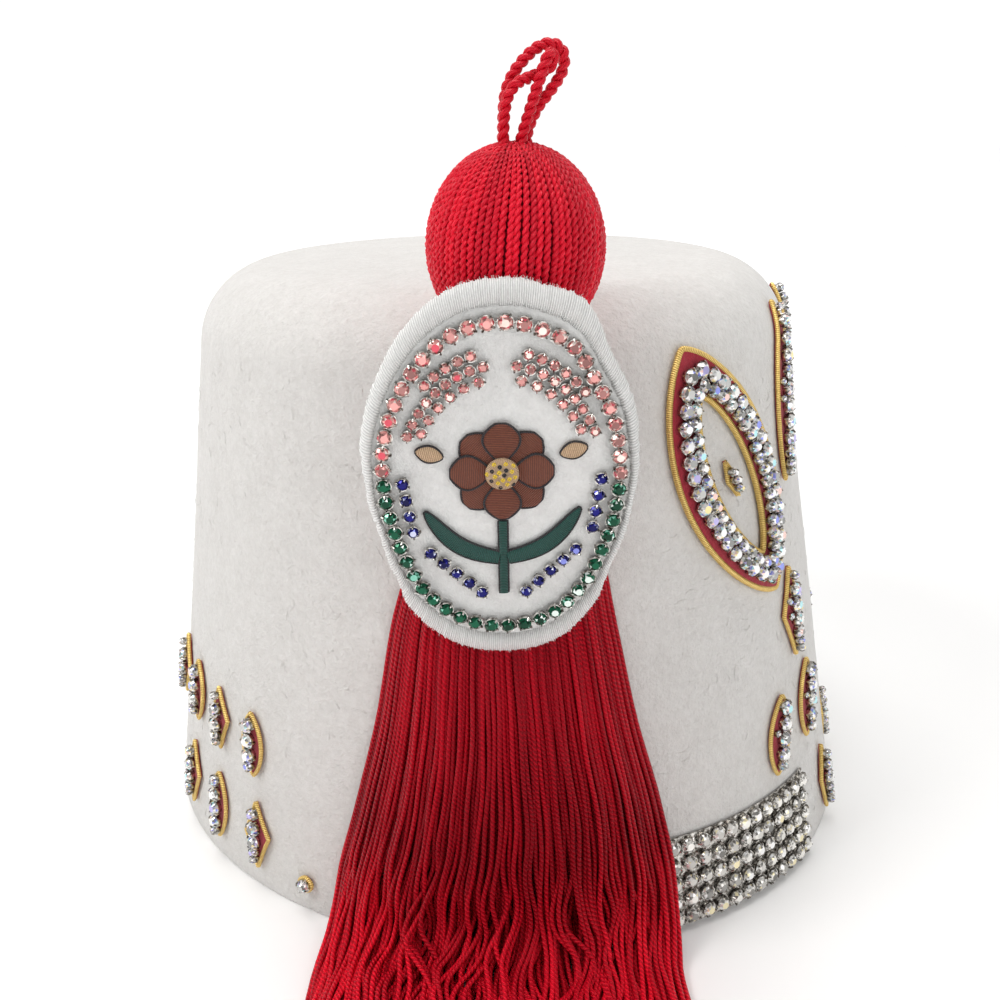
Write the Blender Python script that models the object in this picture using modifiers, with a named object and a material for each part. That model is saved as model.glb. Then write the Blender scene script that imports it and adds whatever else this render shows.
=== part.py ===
"""A white felt fez: a tapered crown open at the bottom, a red tassel whose ball rests on the crown's edge with
an oval badge in front of it, and crystal and gold-cord ornaments on the wall. Metres, +Z up. The rim lies in
the plane Z = 0 with the origin at its centre, the wearer faces +X, and the tassel hangs near -Y."""

from collections import namedtuple
from math import acos, asin, atan2, cos, degrees, hypot, pi, radians, sin, sqrt, tan

import bmesh
import bpy
from mathutils import Vector

MM = 0.001
GAP = 0.3 * MM

# Crown of felt
HAT_HEIGHT = 152.3 * MM
BASE_LENGTH = 200.0 * MM
BASE_WIDTH = 174.0 * MM
TOP_LENGTH = 148.2 * MM
TOP_WIDTH = 137.8 * MM
SHOULDER = 20.5 * MM
TOP_DOME = 1.2 * MM
FELT = 2.6 * MM
CROWN_SIDES = 48
SHOULDER_STEPS = 4

# Tassel: the turn from -Y toward +X, its ball, pin and cord loops
TASSEL_TURN = radians(16.2)
BALL_RADIUS = 17.4 * MM
BALL_TALL = 19.4 * MM
BALL_ASIDE = 4.0 * MM
BALL_SEAT = radians(49.0)
BALL_RIBS = 20
BALL_BANDS = 10
RIB_DEPTH = 0.7 * MM
PIN_RADIUS = 0.8 * MM
PIN_REACH = 10.0 * MM
PIN_HEAD_RADIUS = 3.0 * MM
PIN_HEAD_THICKNESS = 1.0 * MM
PIN_CLEARANCE = 0.4 * MM
LOOP_CORD_RADIUS = 1.2 * MM
LOOP_HEIGHT = 15.7 * MM
LOOP_SPREAD = 8.4 * MM
LOOP_SPACING = 1.6 * MM

# Fringe: locks fused side by side, from a neck under the ball, down the wall and out over the floor
NECK_LEAN = radians(10.0)
NECK_THICKNESS = 12.0 * MM
FRINGE_WIDTH = 90.0 * MM
FRINGE_THICKNESS = 10.0 * MM
FOOT_BEND = 14.0 * MM
TAIL_RUN = 75.0 * MM
LOCKS = 11
FRINGE_EDGE = 0.12
LOCK_EDGE = 0.45
TAIL_SPREAD = 0.06

# Badge: felt oval with a stitched border, a chain of stones, and raised embroidery
BADGE_WIDTH = 52.8 * MM
BADGE_HEIGHT = 77.8 * MM
BADGE_DROP = 40.2 * MM
BADGE_LEAN = radians(5.0)
BADGE_FELT = 1.6 * MM
BORDER_THICKNESS = 3.4 * MM
BORDER_SHARE = 0.85
BADGE_SIDES = 40
CHAIN_WIDTH = 45.2 * MM
CHAIN_HEIGHT = 63.2 * MM
STONE_RADIUS = 1.4 * MM
STONE_PITCH = 3.35 * MM
CUP_HEIGHT = 1.2 * MM
STONE_RISE = 0.8 * MM
STONE_TABLE = 0.55
EMBROIDERY = 0.9 * MM
EMBROIDERY_SPAN = 63.2
STEM = 0.9
SPRAY_RADIUS = 1.1 * MM
PETALS = 8
PETAL_FULLNESS = 0.94

# Ornaments on the wall
CORD_RADIUS = 0.75 * MM
PAD_THICKNESS = 1.2 * MM
CRYSTAL_HEIGHT = 1.9 * MM
MOTIF_RISE = 2.2 * MM
MOTIF_EDGE_RISE = 1.8 * MM
MOTIF_EDGE_WIDTH = 1.3 * MM
MOTIF_SIDES = 10
LONG_MOTIF_STEPS = 10
RING_LENGTH = 68.0 * MM
RING_WIDTH = 31.0 * MM
RING_FLANK = 9.8 * MM
RING_FELT_EDGE = 0.9 * MM
RING_SIDES = 20
MOTIF_LENGTH = 18.0 * MM
MOTIF_WIDTH = 9.0 * MM
BAND_HEIGHT = 24.0 * MM
BAND_FOOT = 0.8 * MM
BAND_THICKNESS = 2.0 * MM
BAND_START = radians(21.6)
BAND_CLEARANCE = 1.0 * MM
BAND_STEPS = 13

# What follows from the sizes above
LEAN = (atan2(BASE_LENGTH - TOP_LENGTH, 2 * HAT_HEIGHT) + atan2(BASE_WIDTH - TOP_WIDTH, 2 * HAT_HEIGHT)) / 2
SHOULDER_HEIGHT = HAT_HEIGHT - TOP_DOME - SHOULDER
WALL_HEIGHT = SHOULDER_HEIGHT + SHOULDER * sin(LEAN)
WALL_RUN = WALL_HEIGHT / cos(LEAN)

# Sections of the fringe down the wall: height as a share of the neck's, how far the back has settled on the
# wall, the middle's place aside as a share of the ball's, width and thickness as shares; behind the badge the
# thickness is a share of the room there.
WallSection = namedtuple("WallSection", "height settled aside width thickness groove")
BADGE_SECTIONS = (
    WallSection(0.940, 0.40, 0.80, 0.30, 0.72, 0.12),
    WallSection(0.866, 0.75, 0.60, 0.35, 0.74, 0.13),
    WallSection(0.758, 1.00, 0.35, 0.43, 0.80, 0.14),
    WallSection(0.650, 1.00, 0.15, 0.50, 0.90, 0.15),
    WallSection(0.568, 1.00, 0.00, 0.56, 1.00, 0.17),
)
FREE_SECTIONS = (
    WallSection(0.414, 1.00, 0.00, 0.66, 1.00, 0.22),
    WallSection(0.275, 1.00, 0.00, 0.78, 0.96, 0.28),
    WallSection(0.165, 1.00, -0.15, 0.87, 0.92, 0.32),
)
# Sections round the bend and over the floor, drifting aside: turn from the wall, run as a share of the tail's
FloorSection = namedtuple("FloorSection", "turn run aside width thickness groove")
FLOOR_SECTIONS = (
    FloorSection(0.0, 0.00, -0.32, 0.91, 0.90, 0.34),
    FloorSection(32.0, 0.00, -0.50, 0.93, 0.84, 0.36),
    FloorSection(62.0, 0.00, -0.70, 0.94, 0.76, 0.38),
    FloorSection(90.0, 0.00, -0.88, 0.95, 0.68, 0.42),
    FloorSection(90.0, 0.24, -1.05, 0.97, 0.60, 0.46),
    FloorSection(90.0, 0.46, -1.15, 0.98, 0.52, 0.55),
)
# Free ends of the locks: run, width and thickness as shares of the tail's run, a lock's width and the fringe's
TailSection = namedtuple("TailSection", "run width thickness")
TAIL_SECTIONS = (
    TailSection(0.66, 0.95, 0.46),
    TailSection(0.86, 0.88, 0.36),
    TailSection(1.00, 0.55, 0.20),
)
# Each lock's length and sideways drift, as shares of the tail's run
TailLock = namedtuple("TailLock", "length drift")
TAIL_LOCKS = (
    TailLock(0.93, -0.030),
    TailLock(0.97, -0.020),
    TailLock(0.95, -0.022),
    TailLock(1.00, -0.010),
    TailLock(0.97, -0.008),
    TailLock(0.99, 0.004),
    TailLock(0.96, 0.000),
    TailLock(1.00, 0.012),
    TailLock(0.95, 0.018),
    TailLock(0.98, 0.022),
    TailLock(0.92, 0.035),
)

# The badge's hand-cut edge: its reach as a share of a true oval's, by angle from its right-hand side
BADGE_EDGE = (
    (8, 0.995),
    (22, 1.015),
    (38, 0.998),
    (56, 1.060),
    (75, 1.010),
    (92, 1.000),
    (117, 1.010),
    (140, 1.012),
    (165, 1.022),
    (182, 0.985),
    (197, 0.950),
    (212, 0.965),
    (224, 1.010),
    (243, 1.010),
    (268, 0.992),
    (297, 1.012),
    (313, 0.995),
    (330, 0.945),
    (348, 0.960),
)

# The two cord loops over the ball: sideways, upward and toward the crown, as shares of the loop's spread,
# height and spacing. The inner one crosses behind itself.
LoopPoint = namedtuple("LoopPoint", "aside up back")
OUTER_LOOP = (
    LoopPoint(-0.24, 0.00, 1.0),
    LoopPoint(-0.19, 0.42, 1.0),
    LoopPoint(-0.03, 0.66, 1.0),
    LoopPoint(0.27, 0.86, 1.0),
    LoopPoint(0.62, 0.99, 1.2),
    LoopPoint(0.93, 1.00, 1.3),
    LoopPoint(1.12, 0.89, 1.3),
    LoopPoint(1.08, 0.71, 1.2),
    LoopPoint(0.84, 0.52, 1.0),
    LoopPoint(0.56, 0.34, 1.0),
    LoopPoint(0.37, 0.15, 1.0),
    LoopPoint(0.29, 0.00, 1.0),
)
INNER_LOOP = (
    LoopPoint(-0.24, 0.00, -1.0),
    LoopPoint(-0.21, 0.25, -1.0),
    LoopPoint(-0.14, 0.43, -1.0),
    LoopPoint(0.03, 0.57, -0.9),
    LoopPoint(0.30, 0.64, 0.0),
    LoopPoint(0.56, 0.69, 0.9),
    LoopPoint(0.78, 0.75, 0.5),
    LoopPoint(0.87, 0.84, -0.2),
    LoopPoint(0.80, 0.91, -0.9),
    LoopPoint(0.68, 0.80, -1.1),
    LoopPoint(0.55, 0.61, -1.1),
    LoopPoint(0.40, 0.38, -1.0),
    LoopPoint(0.16, 0.00, -1.0),
)

# Sprays of stones on the badge: their two ends on the right-hand side, in the embroidery's units
SPRAYS = (
    ((4.4, -23.6), (14.2, -14.4)),
    ((17.4, -9.6), (18.9, 0.6)),
)


def look(name, colour, roughness, metallic=0.0):
    """A plain material in the piece's colour, as linear red, green and blue."""
    material = bpy.data.materials.new(name)
    material.use_nodes = True
    shader = material.node_tree.nodes["Principled BSDF"]
    shader.inputs["Base Color"].default_value = (*colour, 1.0)
    shader.inputs["Roughness"].default_value = roughness
    shader.inputs["Metallic"].default_value = metallic
    return material


def linked(name, data, group, material=None):
    thing = bpy.data.objects.new(name, data)
    if material:
        data.materials.append(material)
    group.objects.link(thing)
    return thing


def finished(name, shape, material, group, parent=None, place=None):
    """Turns a bmesh into a smooth-shaded object, with its own origin at place."""
    place = Vector(place or (0, 0, 0))
    bmesh.ops.translate(shape, verts=shape.verts, vec=-place)
    bmesh.ops.recalc_face_normals(shape, faces=shape.faces)
    mesh = bpy.data.meshes.new(name)
    shape.to_mesh(mesh)
    shape.free()
    mesh.shade_smooth()
    mesh.set_sharp_from_angle(angle=radians(35))
    thing = linked(name, mesh, group, material)
    thing.parent = parent
    thing.location = place
    return thing


def skinned(rings, start=None, end=None, around=False):
    """A bmesh skin over rings of as many points each. Its ends are tips where given, or else flat caps, and
    around joins the last ring to the first."""
    shape = bmesh.new()
    rows = [[shape.verts.new(point) for point in ring] for ring in rings]
    count = len(rows[0])
    follows = rows[1:] + rows[:1] if around else rows[1:]
    for here, there in zip(rows, follows):
        for i in range(count):
            shape.faces.new((here[i], here[(i + 1) % count], there[(i + 1) % count], there[i]))
    if around:
        return shape
    for row, tip in ((rows[0], start), (rows[-1], end)):
        if tip is None:
            shape.faces.new(row)
            continue
        point = shape.verts.new(tip)
        for i in range(count):
            shape.faces.new((row[i], row[(i + 1) % count], point))
    return shape


def smooth_route(points, steps):
    """Points along a smooth curve through the points given (Catmull-Rom)."""
    ends = [points[0] * 2 - points[1]] + points + [points[-1] * 2 - points[-2]]
    route = []
    for before, here, there, after in zip(ends, ends[1:], ends[2:], ends[3:]):
        for step in range(steps):
            t = step / steps
            bend = here * 2 + (there - before) * t
            bend += (before * 2 - here * 5 + there * 4 - after) * t**2
            bend += (here * 3 - before - there * 3 + after) * t**3
            route.append(bend / 2)
    return route + [points[-1]]


def crown_profile(rise):
    """Semi-axes, height and tilt of the outer face at a distance up the wall and over the shoulder."""
    wall_rise = min(rise, WALL_RUN)
    height = wall_rise * cos(LEAN)
    taper = height / HAT_HEIGHT
    along = BASE_LENGTH / 2 - (BASE_LENGTH - TOP_LENGTH) / 2 * taper
    across = BASE_WIDTH / 2 - (BASE_WIDTH - TOP_WIDTH) / 2 * taper
    tilt = LEAN + (rise - wall_rise) / SHOULDER
    drawn_in = SHOULDER * (cos(tilt) - cos(LEAN))
    height += SHOULDER * (sin(tilt) - sin(LEAN))
    return along + drawn_in, across + drawn_in, height, tilt


def oval_ring(along, across, height, sides):
    turns = [2 * pi * i / sides for i in range(sides)]
    return [Vector((along * cos(turn), across * sin(turn), height)) for turn in turns]


def crown_rings(inset):
    """Rings from the middle of the top down to the rim, on the outer face or a felt's thickness inside it."""
    shoulder_run = SHOULDER * (pi / 2 - LEAN)
    rings = []
    along, across, height, _ = crown_profile(WALL_RUN + shoulder_run)
    rings.append(oval_ring(along / 2, across / 2, height + TOP_DOME * 0.75 - inset, CROWN_SIDES))
    for step in range(SHOULDER_STEPS, -1, -1):
        along, across, height, tilt = crown_profile(WALL_RUN + shoulder_run * step / SHOULDER_STEPS)
        drawn_in = inset * cos(tilt)
        rings.append(oval_ring(along - drawn_in, across - drawn_in, height - inset * sin(tilt), CROWN_SIDES))
    along, across, _, _ = crown_profile(0.0)
    rings.append(oval_ring(along - inset / cos(LEAN), across - inset / cos(LEAN), 0.0, CROWN_SIDES))
    return rings


def make_crown(group, material):
    outer = crown_rings(0.0)
    inner = crown_rings(FELT)
    top = Vector((0, 0, HAT_HEIGHT))
    shape = skinned(outer + inner[::-1], top, top - Vector((0, 0, FELT)))
    return finished("crown", shape, material, group)


def crown_reach(aside, height):
    """How far the crown's outer face stands out along the tassel's direction, aside from the tassel's middle."""
    if height <= WALL_HEIGHT:
        along, across, _, _ = crown_profile(height / cos(LEAN))
    else:
        tilt = asin(min(1.0, (height - SHOULDER_HEIGHT) / SHOULDER))
        along, across, _, _ = crown_profile(WALL_RUN + SHOULDER * (tilt - LEAN))
    out = Vector((sin(TASSEL_TURN) / along, -cos(TASSEL_TURN) / across))
    side = Vector((cos(TASSEL_TURN) / along, sin(TASSEL_TURN) / across)) * aside
    square = out.dot(out)
    half = out.dot(side)
    return (sqrt(half**2 - square * (side.dot(side) - 1)) - half) / square


# The ball touches the shoulder where the shoulder faces it, at the seat's angle.
SHOULDER_REACH = crown_reach(BALL_ASIDE, WALL_HEIGHT) - SHOULDER * cos(LEAN)
BALL_HUG = hypot(BALL_RADIUS * cos(BALL_SEAT), BALL_TALL * sin(BALL_SEAT))
BALL_OUT = SHOULDER_REACH + (SHOULDER + GAP + BALL_RADIUS**2 / BALL_HUG) * cos(BALL_SEAT)
BALL_UP = SHOULDER_HEIGHT + (SHOULDER + GAP + BALL_TALL**2 / BALL_HUG) * sin(BALL_SEAT)

# The badge leans back below, with its flat back just clear of the ball.
BADGE_HUG = hypot(BALL_RADIUS * cos(BADGE_LEAN), BALL_TALL * sin(BADGE_LEAN)) + GAP
BADGE_BACK = BALL_OUT + BADGE_HUG * cos(BADGE_LEAN) - BADGE_DROP * sin(BADGE_LEAN)
BADGE_MIDDLE = BALL_UP - BADGE_HUG * sin(BADGE_LEAN) - BADGE_DROP * cos(BADGE_LEAN)


def badge_reach(height):
    """How far out the badge's back lies at a height."""
    return BADGE_BACK + (height - BADGE_MIDDLE) * tan(BADGE_LEAN)


def in_tassel(aside, out, up):
    """A point in the tassel's own frame, whose -Y points away from the crown."""
    return Vector((aside, -out, up))


def cutter(name, radius, low, high, group, parent):
    """A round cutter along the pin's line, between two distances from the shoulder's centre."""
    bpy.ops.mesh.primitive_cylinder_add(vertices=10, radius=radius, depth=high - low)
    rod = bpy.context.object
    for old in list(rod.users_collection):
        old.objects.unlink(rod)
    group.objects.link(rod)
    rod.name = name
    rod.hide_render = True
    rod.display_type = "WIRE"
    rod.parent = parent
    middle = (low + high) / 2
    out = SHOULDER_REACH + middle * cos(BALL_SEAT)
    rod.location = in_tassel(BALL_ASIDE, out, SHOULDER_HEIGHT + middle * sin(BALL_SEAT))
    rod.rotation_euler = (pi / 2 - BALL_SEAT, 0, 0)
    return rod


def cut(thing, rod):
    """Cuts the rod's hole."""
    hole = thing.modifiers.new("pin hole", "BOOLEAN")
    hole.operation = "DIFFERENCE"
    hole.object = rod


def make_ball(group, material, parent):
    rings = []
    for band in range(1, BALL_BANDS):
        fall = pi * band / BALL_BANDS
        ring = []
        for i in range(2 * BALL_RIBS):
            turn = pi * i / BALL_RIBS
            reach = BALL_RADIUS - RIB_DEPTH * (i % 2) * sin(fall)
            flat = reach * sin(fall)
            ring.append(Vector((flat * cos(turn), flat * sin(turn), BALL_TALL * cos(fall))))
        rings.append(ring)
    poles = [Vector((0, 0, BALL_TALL)), Vector((0, 0, -BALL_TALL))]
    ball = finished("tassel_ball", skinned(rings, *poles), material, group, parent)
    ball.location = in_tassel(BALL_ASIDE, BALL_OUT, BALL_UP)
    return ball


def make_pin(group, material, parent):
    """A post with a flat head inside the crown, turned from its profile about the line to the ball."""
    facet = (pi / 2 - LEAN) / SHOULDER_STEPS
    inner = (SHOULDER - FELT) * cos(facet / 2)
    head_top = sqrt(inner**2 - PIN_HEAD_RADIUS**2) - GAP
    tip = SHOULDER + GAP + PIN_REACH
    profile = (
        (0.0, tip),
        (PIN_RADIUS, tip),
        (PIN_RADIUS, head_top),
        (PIN_HEAD_RADIUS, head_top),
        (PIN_HEAD_RADIUS, head_top - PIN_HEAD_THICKNESS),
        (0.0, head_top - PIN_HEAD_THICKNESS),
    )
    mesh = bpy.data.meshes.new("tassel_pin")
    points = [(radius, 0, along) for radius, along in profile]
    edges = [(i, i + 1) for i in range(len(profile) - 1)]
    mesh.from_pydata(points, edges, [])
    pin = linked("tassel_pin", mesh, group, material)
    spin = pin.modifiers.new("turned", "SCREW")
    spin.steps = 10
    spin.render_steps = 10
    spin.use_merge_vertices = True
    spin.merge_threshold = 0.00005
    pin.parent = parent
    pin.location = in_tassel(BALL_ASIDE, SHOULDER_REACH, SHOULDER_HEIGHT)
    pin.rotation_euler = (pi / 2 - BALL_SEAT, 0, 0)
    return tip


def make_loop(name, route, group, material, parent):
    """A loop of cord that stands on the ball, both ends at its top."""
    foot = BALL_UP + BALL_TALL + GAP
    points = []
    for row in route:
        aside = BALL_ASIDE + row.aside * LOOP_SPREAD
        points.append(in_tassel(aside, BALL_OUT - row.back * LOOP_SPACING, foot + row.up * LOOP_HEIGHT))
    smooth = smooth_route(points, 2)
    curve = bpy.data.curves.new(name, "CURVE")
    curve.dimensions = "3D"
    curve.bevel_depth = LOOP_CORD_RADIUS
    curve.bevel_resolution = 2
    curve.use_fill_caps = True
    spline = curve.splines.new("POLY")
    spline.points.add(len(smooth) - 1)
    for knot, point in zip(spline.points, smooth):
        knot.co = (*point, 1.0)
    cord = linked(name, curve, group, material)
    cord.parent = parent


def fringe_section(width, thickness, groove, place):
    """One closed section of the fringe: lock crests and grooves over the front, then the smooth back. place
    gives the back's point and the outward direction for a sideways position."""
    front = []
    back = []
    for i in range(2 * LOCKS + 1):
        share = i / LOCKS - 1
        start, outward = place(share * width / 2)
        deep = thickness * (FRINGE_EDGE + (1 - FRINGE_EDGE) * sqrt(1 - abs(share) ** 3))
        if i % 2 == 0:
            deep *= 1 - groove
        front.append(start + outward * deep)
        back.append(start)
    return front, back


def fringe_sections():
    """Front and back rows of points of every section, from the neck to where the locks part."""
    out = Vector((0, -cos(NECK_LEAN), sin(NECK_LEAN)))
    down = Vector((0, -sin(NECK_LEAN), -cos(NECK_LEAN)))
    ball = in_tassel(BALL_ASIDE, BALL_OUT, BALL_UP)
    hug = hypot(BALL_RADIUS * sin(NECK_LEAN), BALL_TALL * cos(NECK_LEAN)) + GAP
    neck = ball + down * hug - out * NECK_THICKNESS / 2
    neck_height = neck.z

    sections = [
        fringe_section(
            FRINGE_WIDTH * 0.27, NECK_THICKNESS, 0.12, lambda aside: (neck + Vector((aside, 0, 0)), out)
        )
    ]
    for row in BADGE_SECTIONS + FREE_SECTIONS:
        height = row.height * neck_height
        hung = -neck.y * (1 - row.settled)

        def on_wall(aside, height=height, hung=hung, row=row):
            aside += BALL_ASIDE * row.aside
            reach = hung + row.settled * (crown_reach(aside, height) + GAP)
            return in_tassel(aside, reach, height), Vector((0, -1, 0))

        if row in BADGE_SECTIONS:
            room = badge_reach(height) - GAP + on_wall(0.0)[0].y
        else:
            room = FRINGE_THICKNESS
        sections.append(
            fringe_section(row.width * FRINGE_WIDTH, row.thickness * room, row.groove, on_wall)
        )
    for row in FLOOR_SECTIONS:
        turn = radians(row.turn)
        run = FOOT_BEND * (1 - cos(turn)) + row.run * (TAIL_RUN - FOOT_BEND)
        height = FOOT_BEND * (1 - sin(turn))

        def on_floor(aside, run=run, height=height, turn=turn, row=row):
            aside += BALL_ASIDE * row.aside
            reach = crown_reach(aside, height) + GAP + run
            return in_tassel(aside, reach, height), Vector((0, -cos(turn), sin(turn)))

        sections.append(
            fringe_section(row.width * FRINGE_WIDTH, row.thickness * FRINGE_THICKNESS, row.groove, on_floor)
        )
    return sections


def add_strip(shape, upper, lower):
    """Faces between two rows of points, one of which lies over the other."""
    for i in range(len(upper) - 1):
        shape.faces.new((upper[i], upper[i + 1], lower[i + 1], lower[i]))


def make_fringe(group, material, parent):
    shape = bmesh.new()
    rows = []
    for front, back in fringe_sections():
        rows.append(([shape.verts.new(p) for p in front], [shape.verts.new(p) for p in back]))
    add_strip(shape, *rows[0])
    for (front, back), (next_front, next_back) in zip(rows, rows[1:]):
        add_strip(shape, front, next_front)
        add_strip(shape, back, next_back)
        for end in (0, -1):
            shape.faces.new((front[end], next_front[end], next_back[end], back[end]))

    # Each lock goes on by itself from the last common section
    front, back = rows[-1]
    lock_width = FRINGE_WIDTH * FLOOR_SECTIONS[-1].width / LOCKS
    for i in range(LOCKS):
        lock = TAIL_LOCKS[i % len(TAIL_LOCKS)]
        ring = front[2 * i : 2 * i + 3] + back[2 * i : 2 * i + 3][::-1]
        middle = back[2 * i + 1].co.x
        for row in TAIL_SECTIONS:
            run = FOOT_BEND + (TAIL_RUN - FOOT_BEND) * row.run * lock.length
            aside = middle * (1 + TAIL_SPREAD * row.run) + lock.drift * TAIL_RUN * row.run
            half = lock_width / 2 * row.width
            deep = FRINGE_THICKNESS * row.thickness
            reach = crown_reach(middle, 0.0) + GAP + run
            sides = (aside - half, aside, aside + half)
            heights = (deep * LOCK_EDGE, deep, deep * LOCK_EDGE)
            corners = [*zip(sides, heights), *((x, 0.0) for x in sides[::-1])]
            tip = [shape.verts.new(in_tassel(x, reach, z)) for x, z in corners]
            for k in range(6):
                shape.faces.new((ring[k], ring[(k + 1) % 6], tip[(k + 1) % 6], tip[k]))
            ring = tip
        add_strip(shape, ring[:3], ring[:2:-1])
    finished("tassel_fringe", shape, material, group, parent)


def edge_share(angle):
    """The badge edge's reach at an angle in degrees, smooth between the rows of BADGE_EDGE."""
    first, last = BADGE_EDGE[0], BADGE_EDGE[-1]
    rows = [(last[0] - 360, last[1]), *BADGE_EDGE, (first[0] + 360, first[1])]
    for (low, here), (high, there) in zip(rows, rows[1:]):
        if low <= angle <= high:
            part = (angle - low) / (high - low)
            return here + (there - here) * (1 - cos(pi * part)) / 2
    return 1.0


def badge_lines(turn):
    """At one angle of the badge: its edge, the border's inner edge and the line of the stone chain."""
    share = edge_share(degrees(turn) % 360)
    way = Vector((cos(turn), sin(turn)))
    edge = Vector((way.x * BADGE_WIDTH, way.y * BADGE_HEIGHT)) / 2 * share
    chain = Vector((way.x * CHAIN_WIDTH, way.y * CHAIN_HEIGHT)) / 2 * (1 + share) / 2
    room = (edge - chain).length - STONE_RADIUS - GAP
    inner = edge + (chain - edge).normalized() * room * BORDER_SHARE
    return edge, inner, chain


def flat_piece(name, outline, low, high, material, group, parent, place=(0, 0)):
    """A flat outline, extruded between two heights over the badge's back."""
    curve = bpy.data.curves.new(name, "CURVE")
    curve.dimensions = "2D"
    curve.fill_mode = "BOTH"
    curve.extrude = (high - low) / 2
    spline = curve.splines.new("POLY")
    spline.points.add(len(outline) - 1)
    for knot, point in zip(spline.points, outline):
        knot.co = (point[0], point[1], 0.0, 1.0)
    spline.use_cyclic_u = True
    piece = linked(name, curve, group, material)
    piece.parent = parent
    piece.location = (place[0], place[1], (low + high) / 2)
    return piece


def stone_places(path, pitch):
    """Even places along a closed or open path of points, each with the path's direction there."""
    lengths = [0.0]
    for here, there in zip(path, path[1:]):
        lengths.append(lengths[-1] + (there - here).length)
    count = round(lengths[-1] / pitch)
    places = []
    k = 0
    for i in range(count):
        wanted = lengths[-1] * (i + 0.5) / count
        while lengths[k + 1] < wanted:
            k += 1
        along = path[k + 1] - path[k]
        point = path[k] + along * (wanted - lengths[k]) / along.length
        places.append((point, atan2(along.y, along.x)))
    return places


def make_stone_chain(name, places, low, material, group, parent):
    """Eight-sided cut stones in cups, each cup joined to the next by a short link."""
    shape = bmesh.new()
    girdle = low + CUP_HEIGHT
    levels = (
        (STONE_RADIUS, low),
        (STONE_RADIUS, girdle),
        (STONE_RADIUS * STONE_TABLE, girdle + STONE_RISE),
    )
    last = None
    for number, (point, direction) in enumerate(places):
        rows = []
        for radius, height in levels:
            row = []
            for k in range(8):
                turn = direction + radians(45 * k - 22.5)
                row.append(shape.verts.new((point.x + radius * cos(turn), point.y + radius * sin(turn), height)))
            rows.append(row)
        foot, rim, table = rows
        for k in range(8):
            linked_ahead = k == 0 and number < len(places) - 1
            linked_behind = k == 4 and number > 0
            if not (linked_ahead or linked_behind):
                shape.faces.new((foot[k], foot[(k + 1) % 8], rim[(k + 1) % 8], rim[k]))
            shape.faces.new((rim[k], rim[(k + 1) % 8], table[(k + 1) % 8], table[k]))
        shape.faces.new(table)
        shape.faces.new(foot)
        if last:
            before_foot, before_rim = last
            ahead = (before_foot[0], before_foot[1], before_rim[1], before_rim[0])
            behind = (foot[5], foot[4], rim[4], rim[5])
            for k in range(4):
                shape.faces.new((ahead[k], ahead[(k + 1) % 4], behind[(k + 1) % 4], behind[k]))
        last = (foot, rim)
    return finished(name, shape, material, group, parent)


def make_badge(group, looks, parent):
    turns = [2 * pi * i / BADGE_SIDES for i in range(BADGE_SIDES)]
    seat = bpy.data.objects.new("badge_seat", None)
    group.objects.link(seat)
    seat.parent = parent
    seat.location = in_tassel(0, BADGE_BACK, BADGE_MIDDLE)
    seat.rotation_euler = (pi / 2 + BADGE_LEAN, 0, 0)

    rings = []
    for turn in turns:
        edge, inner, _ = badge_lines(turn)
        middle = (edge + inner) / 2
        half = (edge - inner) / 2
        ring = []
        for k in range(8):
            angle = 2 * pi * k / 8
            flat = middle + half * cos(angle)
            ring.append(Vector((flat.x, flat.y, BORDER_THICKNESS / 2 * (1 + sin(angle)))))
        rings.append(ring)
    finished("badge_border", skinned(rings, around=True), looks["white thread"], group, seat)

    outline = []
    for turn in turns:
        _, inner, chain = badge_lines(turn)
        outline.append(inner + (chain - inner).normalized() * GAP)
    front = BORDER_THICKNESS / 2 + BADGE_FELT / 2
    flat_piece("badge_felt", outline, front - BADGE_FELT, front, looks["white felt"], group, seat)

    low = front + GAP
    path = [badge_lines(radians(degree))[2] for degree in range(-6, 355)]
    places = stone_places(path, STONE_PITCH)
    switch = [point.y > CHAIN_HEIGHT * 0.01 - point.x * 0.085 for point, _ in places]
    first = switch.index(True)
    places = places[first:] + places[:first]
    switch = switch[first:] + switch[:first]
    pinks = switch.index(False)
    make_stone_chain("badge_chain_pink", places[:pinks], low, looks["pink stone"], group, seat)
    make_stone_chain("badge_chain_green", places[pinks:], low, looks["green stone"], group, seat)
    make_embroidery(group, looks, seat, low)


def petal_outline(petals, reach, waist):
    """A round flower's outline with pointed gaps between its petals."""
    outline = []
    for i in range(petals * 4):
        turn = 2 * pi * i / (petals * 4)
        out = (waist, reach * PETAL_FULLNESS, reach, reach * PETAL_FULLNESS)[i % 4]
        outline.append((out * sin(turn), out * cos(turn)))
    return outline


def pointed_oval(length, width, sides):
    """A leaf's outline, pointed at both ends, along Y."""
    outline = []
    for i in range(sides):
        turn = 2 * pi * i / sides
        side = abs(cos(turn)) ** 1.7
        outline.append((width / 2 * (side if cos(turn) > 0 else -side), length / 2 * sin(turn)))
    return outline


def turned_outline(outline, angle, place):
    """The outline turned by an angle to the left and moved."""
    return [
        (x * cos(angle) - y * sin(angle) + place[0], x * sin(angle) + y * cos(angle) + place[1])
        for x, y in outline
    ]


def crescent(inner, outer, start, end, steps, squash=1.0):
    """A garland between two arcs about the badge's centre, thinner toward its ends."""
    far = []
    near = []
    for i in range(steps + 1):
        share = i / steps
        turn = radians(start + (end - start) * share)
        body = sin(pi * (0.12 + 0.76 * share))
        middle = (inner + outer) / 2
        half = (outer - inner) / 2 * body
        for row, out in ((far, middle + half), (near, middle - half)):
            row.append((out * cos(turn), out * sin(turn) * squash))
    return far + near[::-1]


def bulged(start, end, bulge, steps):
    """Points from start up to end, bowed to the left of the way by bulge."""
    way = Vector(end) - Vector(start)
    left = Vector((-way.y, way.x)).normalized()
    shares = [i / steps for i in range(steps)]
    return [Vector(start) + way * share + left * bulge * sin(pi * share) for share in shares]


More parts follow.
